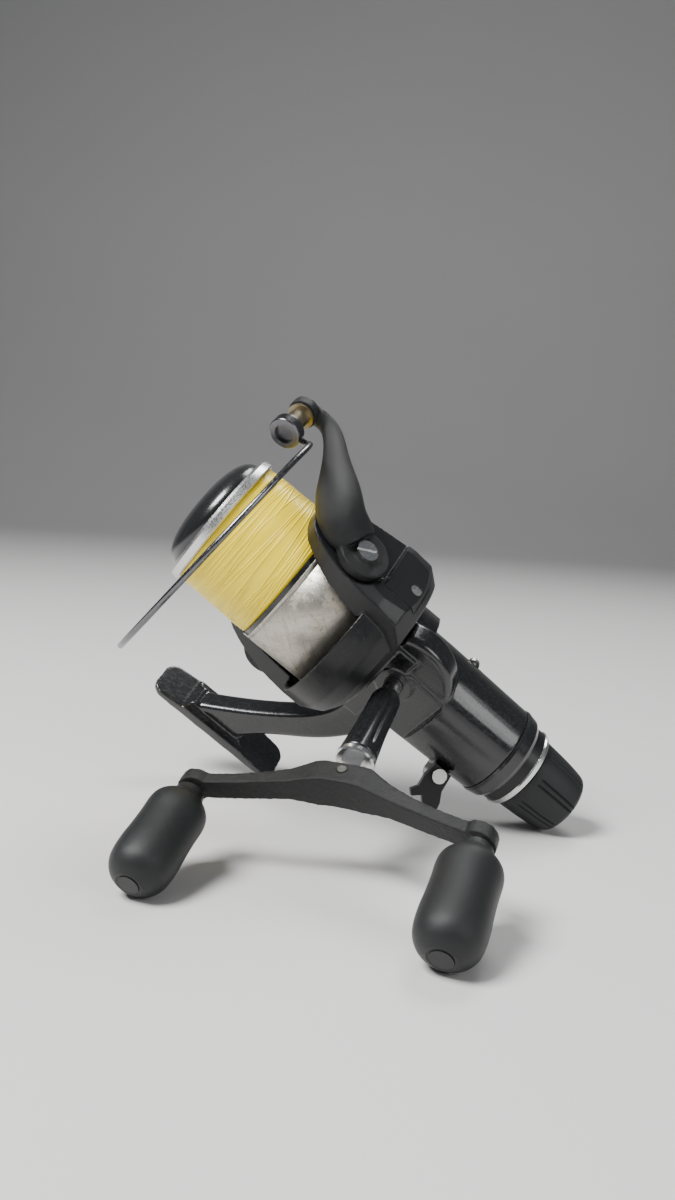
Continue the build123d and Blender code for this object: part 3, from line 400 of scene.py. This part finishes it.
def moulded(name, skin, rough, grain_scale, grain_depth, coat=0.0, wear=1.0, dust=1.0, scratch=0.4,
            worn_colour=RUBBED_BLACK, edge=0.00035, specular=0.32):
    """Black moulded, painted or rubbery skin: grain, mottle, rubbed edges, hairlines and dust.

    skin names the setting that holds its colour.
    """
    finish = settings("reel_finish")
    colour = getattr(finish, skin)
    material, tree, shader, place = start_material(name)
    grain = group(tree, "Grain", {"Scale": grain_scale, "Pits": 0.35})
    worn = group(tree, "Edge Wear", {"Width": edge, "Breakup": 700.0, "Amount": wear * finish.wear})
    hairs = group(tree, "Scratches",
                  {"Vector": place, "Scale": 55.0, "Amount": scratch * finish.wear})
    dusty = group(tree, "Dust", {"Amount": dust * finish.dust})
    base = mix(tree, remap(tree, grain["Mottle"], 0.3, 0.7), rgba(colour, 0.75), rgba(colour, 1.35))
    base = mix(tree, maths(tree, "MULTIPLY", worn["Mask"], 0.5), base, rgba(worn_colour))
    base = mix(tree, maths(tree, "MULTIPLY", hairs["Mask"], 0.5), base, rgba(worn_colour, 1.2))
    base = mix(tree, maths(tree, "MULTIPLY", dusty["Mask"], 0.22), base, rgba(DUST_ON_BLACK))
    gloss = remap(tree, grain["Mottle"], 0.25, 0.75, rough - 0.06, rough + 0.10)
    gloss = maths(tree, "ADD", gloss, maths(tree, "MULTIPLY", dusty["Mask"], 0.4))
    gloss = maths(tree, "ADD", gloss, maths(tree, "MULTIPLY", hairs["Mask"], 0.25))
    feed(tree, shader, Base_Color=base, Roughness=gloss, Coat_Weight=coat, Coat_Roughness=0.14,
         Specular_IOR_Level=specular)
    height = maths(tree, "SUBTRACT", grain["Height"], maths(tree, "MULTIPLY", hairs["Mask"], 0.6))
    bump(tree, shader, height, grain_depth, 0.6)
    return material


def metal(name, colour, rough, rings=None, scratch=0.5, dark=None):
    """Bare or plated metal: smudges, hairlines and, where it was turned, rings round the spool."""
    smudge = 0.12
    finish = settings("reel_finish")
    material, tree, shader, place = start_material(name)
    grain = group(tree, "Grain", {"Scale": 1800.0, "Pits": 0.2})
    hairs = group(tree, "Scratches",
                  {"Vector": place, "Scale": 70.0, "Amount": scratch * finish.wear})
    dusty = group(tree, "Dust", {"Amount": 0.5 * finish.dust})
    base = mix(tree, remap(tree, grain["Mottle"], 0.35, 0.7), rgba(colour, 0.85), rgba(colour))
    if dark is not None:
        stain = remap(tree, grain["Mottle"], 0.56, 0.7)
        base = mix(tree, maths(tree, "MULTIPLY", stain, 0.7), base, rgba(dark))
    base = mix(tree, maths(tree, "MULTIPLY", dusty["Mask"], 0.35), base, rgba(DUST_ON_METAL))
    gloss = remap(tree, grain["Mottle"], 0.3, 0.7, max(rough - smudge * 0.4, 0.04), rough + smudge)
    gloss = maths(tree, "ADD", gloss, maths(tree, "MULTIPLY", hairs["Mask"], 0.2))
    height = maths(tree, "SUBTRACT", maths(tree, "MULTIPLY", grain["Height"], 0.3),
                   maths(tree, "MULTIPLY", hairs["Mask"], 0.7))
    if rings is not None:
        lathe = group(tree, "Turned Rings",
                      {"Vector": own_axes(tree, SPOOL_FRAME), "Rings": rings})
        height = maths(tree, "ADD", height, lathe["Height"])
        gloss = maths(tree, "ADD", gloss, remap(tree, lathe["Band"], 0.3, 0.7, -0.05, 0.06))
    feed(tree, shader, Base_Color=base, Roughness=gloss, Metallic=1.0)
    bump(tree, shader, height, 0.00003, 0.7)
    return material


def foil_skirt():
    """Silver foil on the spool skirt: rubbed patches, streaks along and round it, dark spots."""
    finish = settings("reel_finish")
    material, tree, shader, place = start_material("worn_foil")
    own = own_axes(tree, SPOOL_FRAME)
    grain = group(tree, "Grain", {"Scale": 2200.0, "Pits": 0.3})
    hairs = group(tree, "Scratches", {"Vector": place, "Scale": 120.0, "Amount": 1.0 * finish.wear})
    blotch = add(tree, "ShaderNodeTexNoise", {"Vector": own, "Scale": 210.0, "Detail": 10.0,
                                              "Roughness": 0.74, "Distortion": 0.3})
    patch = remap(tree, blotch.outputs["Fac"], 0.52, 0.60)
    streak = None
    for stretch, scale, low in (((0.10, 1.0, 1.0), 900.0, 0.53), ((1.0, 0.12, 0.12), 1300.0, 0.55)):
        thin = add(tree, "ShaderNodeVectorMath", {0: own, 1: stretch}, operation="MULTIPLY")
        lines = add(tree, "ShaderNodeTexNoise",
                    {"Vector": thin.outputs[0], "Scale": scale, "Detail": 6.0})
        line = remap(tree, lines.outputs["Fac"], low, low + 0.12)
        streak = line if streak is None else maths(tree, "MAXIMUM", streak, line)
    spots = add(tree, "ShaderNodeTexNoise", {"Vector": own, "Scale": 900.0, "Detail": 6.0})
    spot = remap(tree, spots.outputs["Fac"], 0.57, 0.63)
    base = mix(tree, remap(tree, grain["Mottle"], 0.3, 0.7), rgba(finish.foil, 0.78),
               rgba(finish.foil))
    base = mix(tree, maths(tree, "MULTIPLY", patch, 0.45), base, rgba(FOIL_PATCH))
    base = mix(tree, maths(tree, "MULTIPLY", streak, 0.35), base, rgba(FOIL_STREAK))
    base = mix(tree, maths(tree, "MULTIPLY", spot, maths(tree, "MULTIPLY", patch, 0.6)), base,
               rgba(FOIL_SPOT))
    base = mix(tree, maths(tree, "MULTIPLY", hairs["Mask"], 0.8), base, rgba(FOIL_HAIRLINE))
    gloss = maths(tree, "ADD", remap(tree, blotch.outputs["Fac"], 0.45, 0.62, 0.30, 0.46),
                  maths(tree, "MULTIPLY", streak, 0.10))
    metallic = maths(tree, "SUBTRACT", 0.82, maths(tree, "MULTIPLY", patch, 0.25))
    feed(tree, shader, Base_Color=base, Roughness=gloss, Metallic=metallic)
    height = maths(tree, "SUBTRACT", maths(tree, "MULTIPLY", grain["Height"], 0.4),
                   maths(tree, "MULTIPLY", patch, 0.6))
    bump(tree, shader, height, 0.00004, 0.8)
    return material


def wound_line_material():
    """Glossy yellow braid: fibres along each turn, paler worn tops and painted shade that darkens the valleys
    between turns.
    """
    finish = settings("reel_finish")
    material, tree, shader, place = start_material("yellow_line")
    flat = add(tree, "ShaderNodeVectorMath", {0: place, 1: (7.0, 1.0, 1.0)}, operation="MULTIPLY")
    fibres = add(tree, "ShaderNodeTexNoise",
                 {"Vector": flat.outputs[0], "Scale": 900.0, "Detail": 4.0})
    slow = add(tree, "ShaderNodeTexNoise",
               {"Vector": flat.outputs[0], "Scale": 60.0, "Detail": 3.0})
    valley_shade_fac = add(tree, "ShaderNodeAttribute", attribute_name="valley_shade").outputs["Fac"]
    base = mix(tree, remap(tree, slow.outputs["Fac"], 0.3, 0.7), rgba(finish.line, 0.86),
               rgba(finish.line, 1.04))
    # painted shade: each valley between turns is darkened towards orange by how deep it lies
    base = mix(tree, maths(tree, "MULTIPLY", valley_shade_fac, 0.6), base, rgba(LINE_VALLEY_SHADE))
    pale = maths(tree, "MULTIPLY", remap(tree, fibres.outputs["Fac"], 0.55, 0.75), 0.15)
    base = mix(tree, pale, base, rgba(LINE_FIBRE))
    gloss = remap(tree, fibres.outputs["Fac"], 0.3, 0.7, 0.26, 0.46)
    feed(tree, shader, Base_Color=base, Roughness=gloss,
         Subsurface_Weight=0.08, Subsurface_Scale=0.001, Subsurface_Radius=(1.0, 0.6, 0.1),
         Coat_Weight=0.2, Coat_Roughness=0.25)
    bump(tree, shader, fibres.outputs["Fac"], 0.00004, 0.7)
    return material


def felt():
    """Oiled felt of the drag washers."""
    material, tree, shader, _ = start_material("felt")
    grain = group(tree, "Grain", {"Scale": 3500.0, "Pits": 0.1})
    base = mix(tree, grain["Height"], rgba(FELT_DARK), rgba(FELT_PALE))
    feed(tree, shader, Base_Color=base, Roughness=0.9, Sheen_Weight=0.4)
    bump(tree, shader, grain["Height"], 0.0002, 0.8)
    return material


SLOT_OF = {row["node"]: row["material_slot"] for row in frame["record"]["subparts"]}
BODY_OF = {node: body for body, nodes in BODIES.items() for node in nodes}


def finish_material(slot):
    """The material of a record slot, built the first time it is asked for."""
    found = bpy.data.materials.get("finish_" + slot)
    if found is None:
        found = MATERIAL_MAKERS[slot]()
        found.name = "finish_" + slot
    return found


MATERIAL_MAKERS = {
    "body_gloss": lambda: moulded("gloss", "plastic", rough=0.20, grain_scale=1500.0,
                                  grain_depth=0.000012, coat=0.5, wear=0.7, dust=0.8, specular=0.5),
    "body_matte": lambda: moulded("matte", "plastic", rough=0.32, grain_scale=2600.0,
                                  grain_depth=0.00003, coat=0.1, wear=0.8),
    "knob_rubber": lambda: moulded("rubber", "rubber", rough=0.40, grain_scale=3200.0,
                                   grain_depth=0.00005, wear=0.25, dust=1.2, scratch=0.3,
                                   edge=0.0006),
    "black_paint": lambda: moulded("paint", "paint", rough=0.33, grain_scale=1100.0,
                                   grain_depth=0.00016, wear=1.0, dust=0.8, scratch=0.2,
                                   worn_colour=RUBBED_PAINT),
    "bright_steel": lambda: metal("chrome", (0.80, 0.80, 0.79), rough=0.14),
    "brushed": lambda: metal("steel", (0.58, 0.57, 0.55), rough=0.30),
    "silver_lip": lambda: metal("lip", (0.76, 0.76, 0.75), rough=0.27, rings=2600.0),
    "worn_foil": foil_skirt,
    "brass": lambda: metal("brass", (0.42, 0.36, 0.24), rough=0.24, dark=(0.14, 0.11, 0.07)),
    "dark_wire": lambda: metal("wire", (0.17, 0.17, 0.18), rough=0.19, scratch=0.8),
    "zinc": lambda: metal("zinc", (0.42, 0.42, 0.43), rough=0.45),
    "yellow_line": wound_line_material,
    "felt": felt,
}


# ---------------------------------------------------------------- mesh building

def new_piece(name, vertices, faces, matrix, node, *more_nodes):
    """A mesh piece in the axes of matrix that stands for CAD nodes and rides on their body."""
    mesh = bpy.data.meshes.new(name)
    mesh.from_pydata([tuple(v) for v in vertices], [], faces)
    mesh.update()
    piece = bpy.data.objects.new(name, mesh)
    bpy.context.scene.collection.objects.link(piece)
    piece.matrix_world = matrix
    return settle(piece, node, *more_nodes)


def settle(piece, node, *more_nodes):
    """Finish, body and record slot of a piece that stands for CAD nodes."""
    mesh = piece.data
    mesh.materials.clear()
    mesh.materials.append(finish_material(SLOT_OF[node]))
    for polygon in mesh.polygons:
        polygon.use_smooth = True
    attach(piece, BODY_OF[node])
    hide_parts(node, *more_nodes)
    return piece


def smooth_profile(points, per_span=6):
    """A profile through (place, radius) points; repeated points keep a crisp corner."""
    runs, run = [], [points[0]]
    for before, point in zip(points, points[1:]):
        if point == before:
            runs.append(run)
            run = [point]
        else:
            run.append(point)
    runs.append(run)
    out = []
    for run in runs:
        for i in range(len(run) - 1):
            p0, p1 = run[max(i - 1, 0)], run[i]
            p2, p3 = run[i + 1], run[min(i + 2, len(run) - 1)]
            for k in range(per_span):
                t = k / per_span
                out.append(tuple(
                    0.5 * (2 * b + (c - a) * t + (2 * a - 5 * b + 4 * c - d) * t * t
                           + (3 * b - a - 3 * c + d) * t ** 3)
                    for a, b, c, d in zip(p0, p1, p2, p3)))
        out.append(run[-1])
    return [(x, max(r, 0.0)) for x, r in out]


def ring_faces(rings, around, closed):
    """Faces between rings of corners, and from the last ring to the first where it is closed."""
    faces = []
    for i in range(rings if closed else rings - 1):
        here, there = i * around, (i + 1) % rings * around
        for k in range(around):
            after = (k + 1) % around
            faces.append((here + k, here + after, there + after, there + k))
    return faces


def turned(name, profile, around, matrix, node, *more_nodes, shape=None, hoop=False):
    """A body of revolution about the X of matrix; shape(x, angle, radius) may change each radius.

    The profile runs from end to end, or all the way round the section of a hoop.
    """
    vertices = []
    for x, r in profile:
        for k in range(around):
            angle = 2 * math.pi * k / around
            radius = r if shape is None else shape(x, angle, r)
            vertices.append((x, radius * math.cos(angle), radius * math.sin(angle)))
    faces = ring_faces(len(profile), around, hoop)
    if not hoop:
        faces.append(tuple(reversed(range(around))))
        faces.append(tuple(range(len(vertices) - around, len(vertices))))
    return new_piece(name, vertices, faces, matrix, node, *more_nodes)


def rounded_copy(name, node, voxel, rounds, lumps=0.0):
    """A moulded piece: the CAD node's shape with every edge rounded by remeshing and smoothing."""
    piece = bpy.data.objects.new(name, NODES[node].data.copy())
    bpy.context.scene.collection.objects.link(piece)
    skin = piece.modifiers.new("skin", "REMESH")
    skin.mode = "VOXEL"
    skin.voxel_size = voxel
    ease = piece.modifiers.new("ease", "SMOOTH")
    ease.factor = 0.5
    ease.iterations = rounds
    if lumps:
        noise = bpy.data.textures.new(name + "_lumps", "CLOUDS")
        noise.noise_scale = 1.1 * MM
        cast = piece.modifiers.new("cast", "DISPLACE")
        cast.texture = noise
        cast.texture_coords = "LOCAL"
        cast.strength = lumps * 2
        cast.mid_level = 0.5
    graph = bpy.context.evaluated_depsgraph_get()
    made = bpy.data.meshes.new_from_object(piece.evaluated_get(graph))
    piece.modifiers.clear()
    piece.data = made
    return settle(piece, node)


# ---------------------------------------------------------------- the pieces

class Piece:
    """What every operator of the reel shares."""
    bl_options = {"REGISTER", "UNDO"}

    def execute(self, context):
        self.make()
        return {"FINISHED"}


class REEL_OT_inner_works(Piece, bpy.types.Operator):
    """Finish every piece; the gears, shafts, bearings, screws and washers keep their CAD shape"""
    bl_idname = "reel.inner_works"
    bl_label = "Inner works"

    def make(self):
        for node, slot in SLOT_OF.items():
            mesh = NODES[node].data
            mesh.materials.clear()
            mesh.materials.append(finish_material(slot))


class REEL_OT_housing(Piece, bpy.types.Operator):
    """Make the moulded housing with its stem and foot"""
    bl_idname = "reel.housing"
    bl_label = "Housing"

    def make(self):
        detail = settings("reel_detail")
        rounded_copy("housing_shell", "gear_case", detail.voxel * 1.2, 4)


class REEL_OT_rotor(Piece, bpy.types.Operator):
    """Make the moulded rotor with its two arms"""
    bl_idname = "reel.rotor"
    bl_label = "Rotor"

    def make(self):
        detail = settings("reel_detail")
        rounded_copy("rotor_shell", "rotor", detail.voxel, 4)


class REEL_OT_bail(Piece, bpy.types.Operator):
    """Make the painted bail arm and the holder on the far side"""
    bl_idname = "reel.bail"
    bl_label = "Bail"

    def make(self):
        detail = settings("reel_detail")
        rounded_copy("bail_arm_cast", "bail_arm", detail.voxel, 4)
        rounded_copy("bail_holder_cast", "bail_holder", detail.voxel, 4)


class REEL_OT_line(Piece, bpy.types.Operator):
    """Wind the line on the spool, turn by turn, with loose turns that cross it"""
    bl_idname = "reel.line"
    bl_label = "Wound line"

    def make(self):
        detail = settings("reel_detail")
        points = local_points("spool_line", SPOOL_FRAME)
        x0, x1 = points[:, 0].min(), points[:, 0].max()
        radii = np.hypot(points[:, 1], points[:, 2])
        top, core = radii.max(), radii.min()
        pitch, around = detail.turn_pitch, LINE_AROUND
        turns = int((x1 - x0) / pitch)
        along = np.linspace(x0, x1, turns * ROWS_PER_TURN + 1)
        angle = np.linspace(0, 2 * math.pi, around, endpoint=False)
        x, a = np.meshgrid(along, angle, indexing="ij")
        share = (x - x0) / (x1 - x0)
        crown = top - 0.25 * MM - 0.55 * MM * share - 0.35 * MM * np.abs(2 * share - 1) ** 6
        wander = 0.25 * np.sin(3 * a + 40 * share) + 0.2 * np.sin(5 * a - 90 * share)
        ridge = np.abs(np.sin(math.pi * ((x - x0) / pitch + a / (2 * math.pi)) + wander))
        depth = pitch * VALLEY_SHARE
        height = depth * (ridge - 1)
        draw = np.random.default_rng(LINE_SEED)
        strand = pitch * STRAND_SHARE
        for _ in range(detail.crossings):
            place, slope = draw.uniform(x0, x1), draw.uniform(-1, 1) * CROSSING_SLOPE
            start, bend = draw.uniform(0, 2 * math.pi), draw.uniform(-0.4, 0.4) * MM
            turn = (a - start + math.pi) % (2 * math.pi) - math.pi
            centre = place + slope * turn / math.pi + bend * np.cos(2 * turn)
            away = np.abs(x - centre)
            fade = np.clip((math.pi - np.abs(turn)) * 3, 0, 1)
            raised = np.sqrt(np.clip(strand ** 2 - away ** 2, 0, None)) * 0.75 * fade
            height = np.maximum(height, raised - depth * 0.75 * (raised > 0))
        edge = np.clip(np.minimum(x - x0, x1 - x) / (0.6 * MM), 0, 1)
        radius = crown + height * edge - 0.2 * MM * (1 - edge)
        vertices = [(x0, core * math.cos(t), core * math.sin(t)) for t in angle]
        vertices += list(zip(x.ravel(), (radius * np.cos(a)).ravel(), (radius * np.sin(a)).ravel()))
        vertices += [(x1, core * math.cos(t), core * math.sin(t)) for t in angle]
        faces = ring_faces(len(along) + 2, around, True)
        piece = new_piece("wound_line", vertices, faces, SPOOL_FRAME, "spool_line")
        # how deep each corner lies in a valley, kept so the material can paint shade into the valleys; the end
        # rings get full shade
        valley_shade = np.clip(-height / depth, 0, 1).ravel()
        shade = np.concatenate([np.ones(around), valley_shade, np.ones(around)]).astype(np.float32)
        piece.data.attributes.new("valley_shade", "FLOAT", "POINT").data.foreach_set("value", shade)


class REEL_OT_foil_band(Piece, bpy.types.Operator):
    """Make the foil band round the spool skirt, with its rolled grooves"""
    bl_idname = "reel.foil_band"
    bl_label = "Foil band"

    def make(self):
        x0, x1, outer = span("spool_band", SPOOL_FRAME)
        points = local_points("spool_band", SPOOL_FRAME)
        inner = np.hypot(points[:, 1], points[:, 2]).min()
        deep, half = 0.24 * MM, 0.28 * MM
        skin = [(x0, outer - 0.05 * MM), (x0 + 0.06 * MM, outer)]
        for centre in (x0 + 1.1 * MM, x0 + 2.3 * MM, x1 - 1.6 * MM):
            skin += [(centre - half, outer), (centre - 0.6 * half, outer - deep),
                     (centre + 0.6 * half, outer - deep), (centre + half, outer)]
        skin += [(x1 - 0.06 * MM, outer), (x1, outer - 0.05 * MM), (x1, inner), (x0, inner)]
        turned("foil_band", skin, FOIL_AROUND, SPOOL_FRAME, "spool_band", hoop=True)


class REEL_OT_spool_cap(Piece, bpy.types.Operator):
    """Make the domed black cap in the mouth of the spool"""
    bl_idname = "reel.spool_cap"
    bl_label = "Spool cap"

    def make(self):
        x0, x1, radius = span("spool_cap", SPOOL_FRAME)
        lip = x0 + 1.5 * MM
        rise = x1 - lip
        dome = [(x0, radius - 0.2 * MM), (x0, radius - 0.2 * MM), (lip - 0.3 * MM, radius),
                (lip, radius), (lip, radius)]
        for step in range(1, 13):
            t = math.radians(90 * step / 12)
            dome.append((lip + rise * math.sin(t), radius * math.cos(t) ** 0.72))
        turned("spool_dome", smooth_profile(dome, 4), CAP_AROUND, SPOOL_FRAME, "spool_cap")


class REEL_OT_drag_knob(Piece, bpy.types.Operator):
    """Make the rear drag knob with its paired grooves"""
    bl_idname = "reel.drag_knob"
    bl_label = "Drag knob"

    def make(self):
        detail = settings("reel_detail")
        back, front, radius = span("drag_knob", SPOOL_FRAME)
        long = front - back
        end = radius - 2.0 * MM
        side = [(front, 3.2 * MM), (front, 3.2 * MM), (front, radius - 0.7 * MM),
                (front, radius - 0.7 * MM), (front - 0.25 * MM, radius - 0.2 * MM),
                (front - 0.9 * MM, radius), (front - 0.3 * long, radius - 0.3 * MM),
                (front - 0.6 * long, radius - 0.8 * MM), (back + 2.6 * MM, end + 0.35 * MM),
                (back + 1.1 * MM, end - 0.35 * MM), (back + 0.3 * MM, end - 1.5 * MM),
                (back, end - 3.0 * MM), (back, end - 3.0 * MM), (back + 0.5 * MM, end - 3.6 * MM),
                (back + 0.5 * MM, 0.4 * MM)]

        def grooved(x, angle, r):
            if r < end - 1.2 * MM:
                return r
            fade = min(max((front - 2.6 * MM - x) / (1.2 * MM), 0), 1)
            half = 180 / KNOB_PANELS
            turn = (math.degrees(angle) + half) % (360 / KNOB_PANELS) - half
            cut = sum(math.exp(-((turn - off) / GROOVE_HALF) ** 4)
                      for off in (-GROOVE_OFF, GROOVE_OFF))
            return r - detail.groove_depth * fade * min(cut, 1)

        turned("drag_knob_grip", smooth_profile(side, 6), DRAG_AROUND, SPOOL_FRAME, "drag_knob",
               shape=grooved)


class REEL_OT_shank(Piece, bpy.types.Operator):
    """Make the fluted shank between the crank collar and the folding joint"""
    bl_idname = "reel.shank"
    bl_label = "Handle shank"

    def make(self):
        detail = settings("reel_detail")
        x0, x1, radius = span("handle_shank", CRANK_FRAME)
        long = x1 - x0
        side = [(x0, 0.3 * MM), (x0, radius - 2.5 * MM), (x0, radius - 2.5 * MM),
                (x0 + 0.8 * MM, radius - 2.0 * MM), (x0 + 2.6 * MM, radius - 1.35 * MM),
                (x0 + 5.0 * MM, radius - 1.15 * MM), (x0 + 0.6 * long, radius - 0.8 * MM),
                (x1 - 2.0 * MM, radius - 0.12 * MM), (x1 - 0.5 * MM, radius - 0.05 * MM),
                (x1, radius - 0.4 * MM), (x1, radius - 0.4 * MM), (x1, 0.3 * MM)]

        def fluted(x, angle, r):
            if r < SHANK_SOCKET_R:
                return r
            inside = min(max((x - x0 - FLUTE_INSET) / FLUTE_FADE, 0),
                         max((x1 - FLUTE_INSET - x) / FLUTE_FADE, 0), 1)
            return r - detail.flute_depth * inside * max(math.cos(FLUTES * angle), 0) ** 1.5

        turned("shank_fluted", smooth_profile(side, 8), SHANK_AROUND, CRANK_FRAME, "handle_shank",
               shape=fluted)


class REEL_OT_crossbar(Piece, bpy.types.Operator):
    """Make the bowed, rough-painted crossbar"""
    bl_idname = "reel.crossbar"
    bl_label = "Crossbar"

    def make(self):
        detail = settings("reel_detail")
        rounded_copy("crossbar_cast", "crossbar", detail.voxel, 5, lumps=detail.cast_lumps)


class REEL_OT_knobs(Piece, bpy.types.Operator):
    """Make the two barrel knobs of the double handle"""
    bl_idname = "reel.knobs"
    bl_label = "Handle knobs"

    def make(self):
        for which in ("front", "rear"):
            axis = frame_of(joint_point(which + "_knob_spin"), -joint_axis(which + "_knob_spin"),
                            Vector((0, 0, 1)))
            x0, x1, radius = span("knob_" + which, axis)
            long = x1 - x0
            side = [(x0, KNOB_BORE_R), (x0, KNOB_BORE_R), (x0, radius * 0.44), (x0, radius * 0.44)]
            for share, wide in ((0.012, 0.475), (0.05, 0.505), (0.095, 0.60), (0.15, 0.80),
                                (0.20, 0.925), (0.27, 0.975), (0.40, 0.965), (0.55, 0.975),
                                (0.68, 1.0), (0.80, 0.985), (0.88, 0.92), (0.94, 0.78),
                                (0.975, 0.62), (1.0, 0.44)):
                side.append((x0 + long * share, radius * wide))
            side += [side[-1], (x1 - 0.1 * MM, PLUG_R), (x1 - 0.1 * MM, PLUG_R),
                     (x1 - KNOB_BORE, PLUG_R), (x1 - KNOB_BORE, KNOB_BORE_R)]
            turned("grip_" + which, smooth_profile(side, 6), GRIP_AROUND, axis, "knob_" + which)


class REEL_OT_stage(Piece, bpy.types.Operator):
    """Lay the floor, hang the lights and set the camera"""
    bl_idname = "reel.stage"
    bl_label = "Stage"

    def make(self):
        stage = settings("reel_stage")
        self.lay_floor(stage)
        self.hang_lights()
        self.set_camera(stage)

    def lay_floor(self, stage):
        wide, near, far, high, bend = 5.0, -3.0, 2.6, 4.5, 0.9
        rows = [(near, 0.0), (far - bend, 0.0)]
        for degrees in range(9, 91, 9):
            t = math.radians(degrees)
            rows.append((far - bend + bend * math.sin(t), bend - bend * math.cos(t)))
        rows.append((far, high))
        vertices = [(s * wide, y, z) for y, z in rows for s in (-1, 1)]
        faces = [(2 * i, 2 * i + 1, 2 * i + 3, 2 * i + 2) for i in range(len(rows) - 1)]
        mesh = bpy.data.meshes.new("floor")
        mesh.from_pydata(vertices, [], faces)
        for polygon in mesh.polygons:
            polygon.use_smooth = True
        floor = bpy.data.objects.new("floor", mesh)
        bpy.context.scene.collection.objects.link(floor)
        material, tree, shader, place = start_material("pale_floor")
        cloud = add(tree, "ShaderNodeTexNoise", {"Vector": place, "Scale": 4.0, "Detail": 3.0})
        base = mix(tree, cloud.outputs["Fac"], rgba(stage.floor, 0.98), rgba(stage.floor, 1.02))
        feed(tree, shader, Base_Color=base, Roughness=0.7)
        mesh.materials.append(material)

    def hang_lights(self):
        target = Vector((0, 0, 0.06))
        for name, place, size, power in (("key", (-0.55, -0.35, 0.95), 0.45, 27.0),
                                         ("fill", (0.9, -0.7, 0.55), 0.6, 5.0),
                                         ("rim", (0.30, 0.65, 1.1), 0.5, 8.0)):
            lamp = bpy.data.lights.new(name, "AREA")
            lamp.size = size
            lamp.energy = power
            light = bpy.data.objects.new(name, lamp)
            bpy.context.scene.collection.objects.link(light)
            light.location = place
            light.rotation_euler = (target - Vector(place)).to_track_quat("-Z", "Y").to_euler()
        world = bpy.data.worlds.new("studio")
        world.use_nodes = True
        world.node_tree.nodes["Background"].inputs["Color"].default_value = STUDIO_SKY
        world.node_tree.nodes["Background"].inputs["Strength"].default_value = SKY_STRENGTH
        bpy.context.scene.world = world

    def set_camera(self, stage):
        lens = bpy.data.cameras.new("camera")
        lens.sensor_fit = "VERTICAL"
        lens.sensor_height = 36.0
        lens.lens = stage.lens
        lens.clip_start = 0.01
        camera = bpy.data.objects.new("camera", lens)
        bpy.context.scene.collection.objects.link(camera)
        camera.location = stage.place
        camera.rotation_euler = stage.turn
        bpy.context.scene.camera = camera


OPERATORS = (REEL_OT_inner_works, REEL_OT_housing, REEL_OT_rotor, REEL_OT_bail, REEL_OT_line,
             REEL_OT_foil_band, REEL_OT_spool_cap, REEL_OT_drag_knob, REEL_OT_shank,
             REEL_OT_crossbar, REEL_OT_knobs, REEL_OT_stage)


class REEL_PT_sidebar(bpy.types.Panel):
    """Lists the reel's settings and the operators that make its pieces"""
    bl_idname = "REEL_PT_sidebar"
    bl_label = "Spinning reel"
    bl_space_type = "VIEW_3D"
    bl_region_type = "UI"
    bl_category = "Reel"

    def draw(self, context):
        for name, kind in GROUPS:
            box = self.layout.box()
            for label in kind.__annotations__:
                box.prop(getattr(context.scene, name), label)
        for operator in OPERATORS:
            self.layout.operator(operator.bl_idname)


CLASSES = tuple(kind for _, kind in GROUPS) + OPERATORS + (REEL_PT_sidebar,)


def register():
    for kind in CLASSES:
        bpy.utils.register_class(kind)
    for name, kind in GROUPS:
        setattr(bpy.types.Scene, name, bpy.props.PointerProperty(type=kind))


def unregister():
    for name, _ in GROUPS:
        delattr(bpy.types.Scene, name)
    for kind in reversed(CLASSES):
        bpy.utils.unregister_class(kind)


def main():
    register()
    for operator in OPERATORS:
        namespace, name = operator.bl_idname.split(".")
        getattr(getattr(bpy.ops, namespace), name)()


if __name__ == "__main__":
    main()
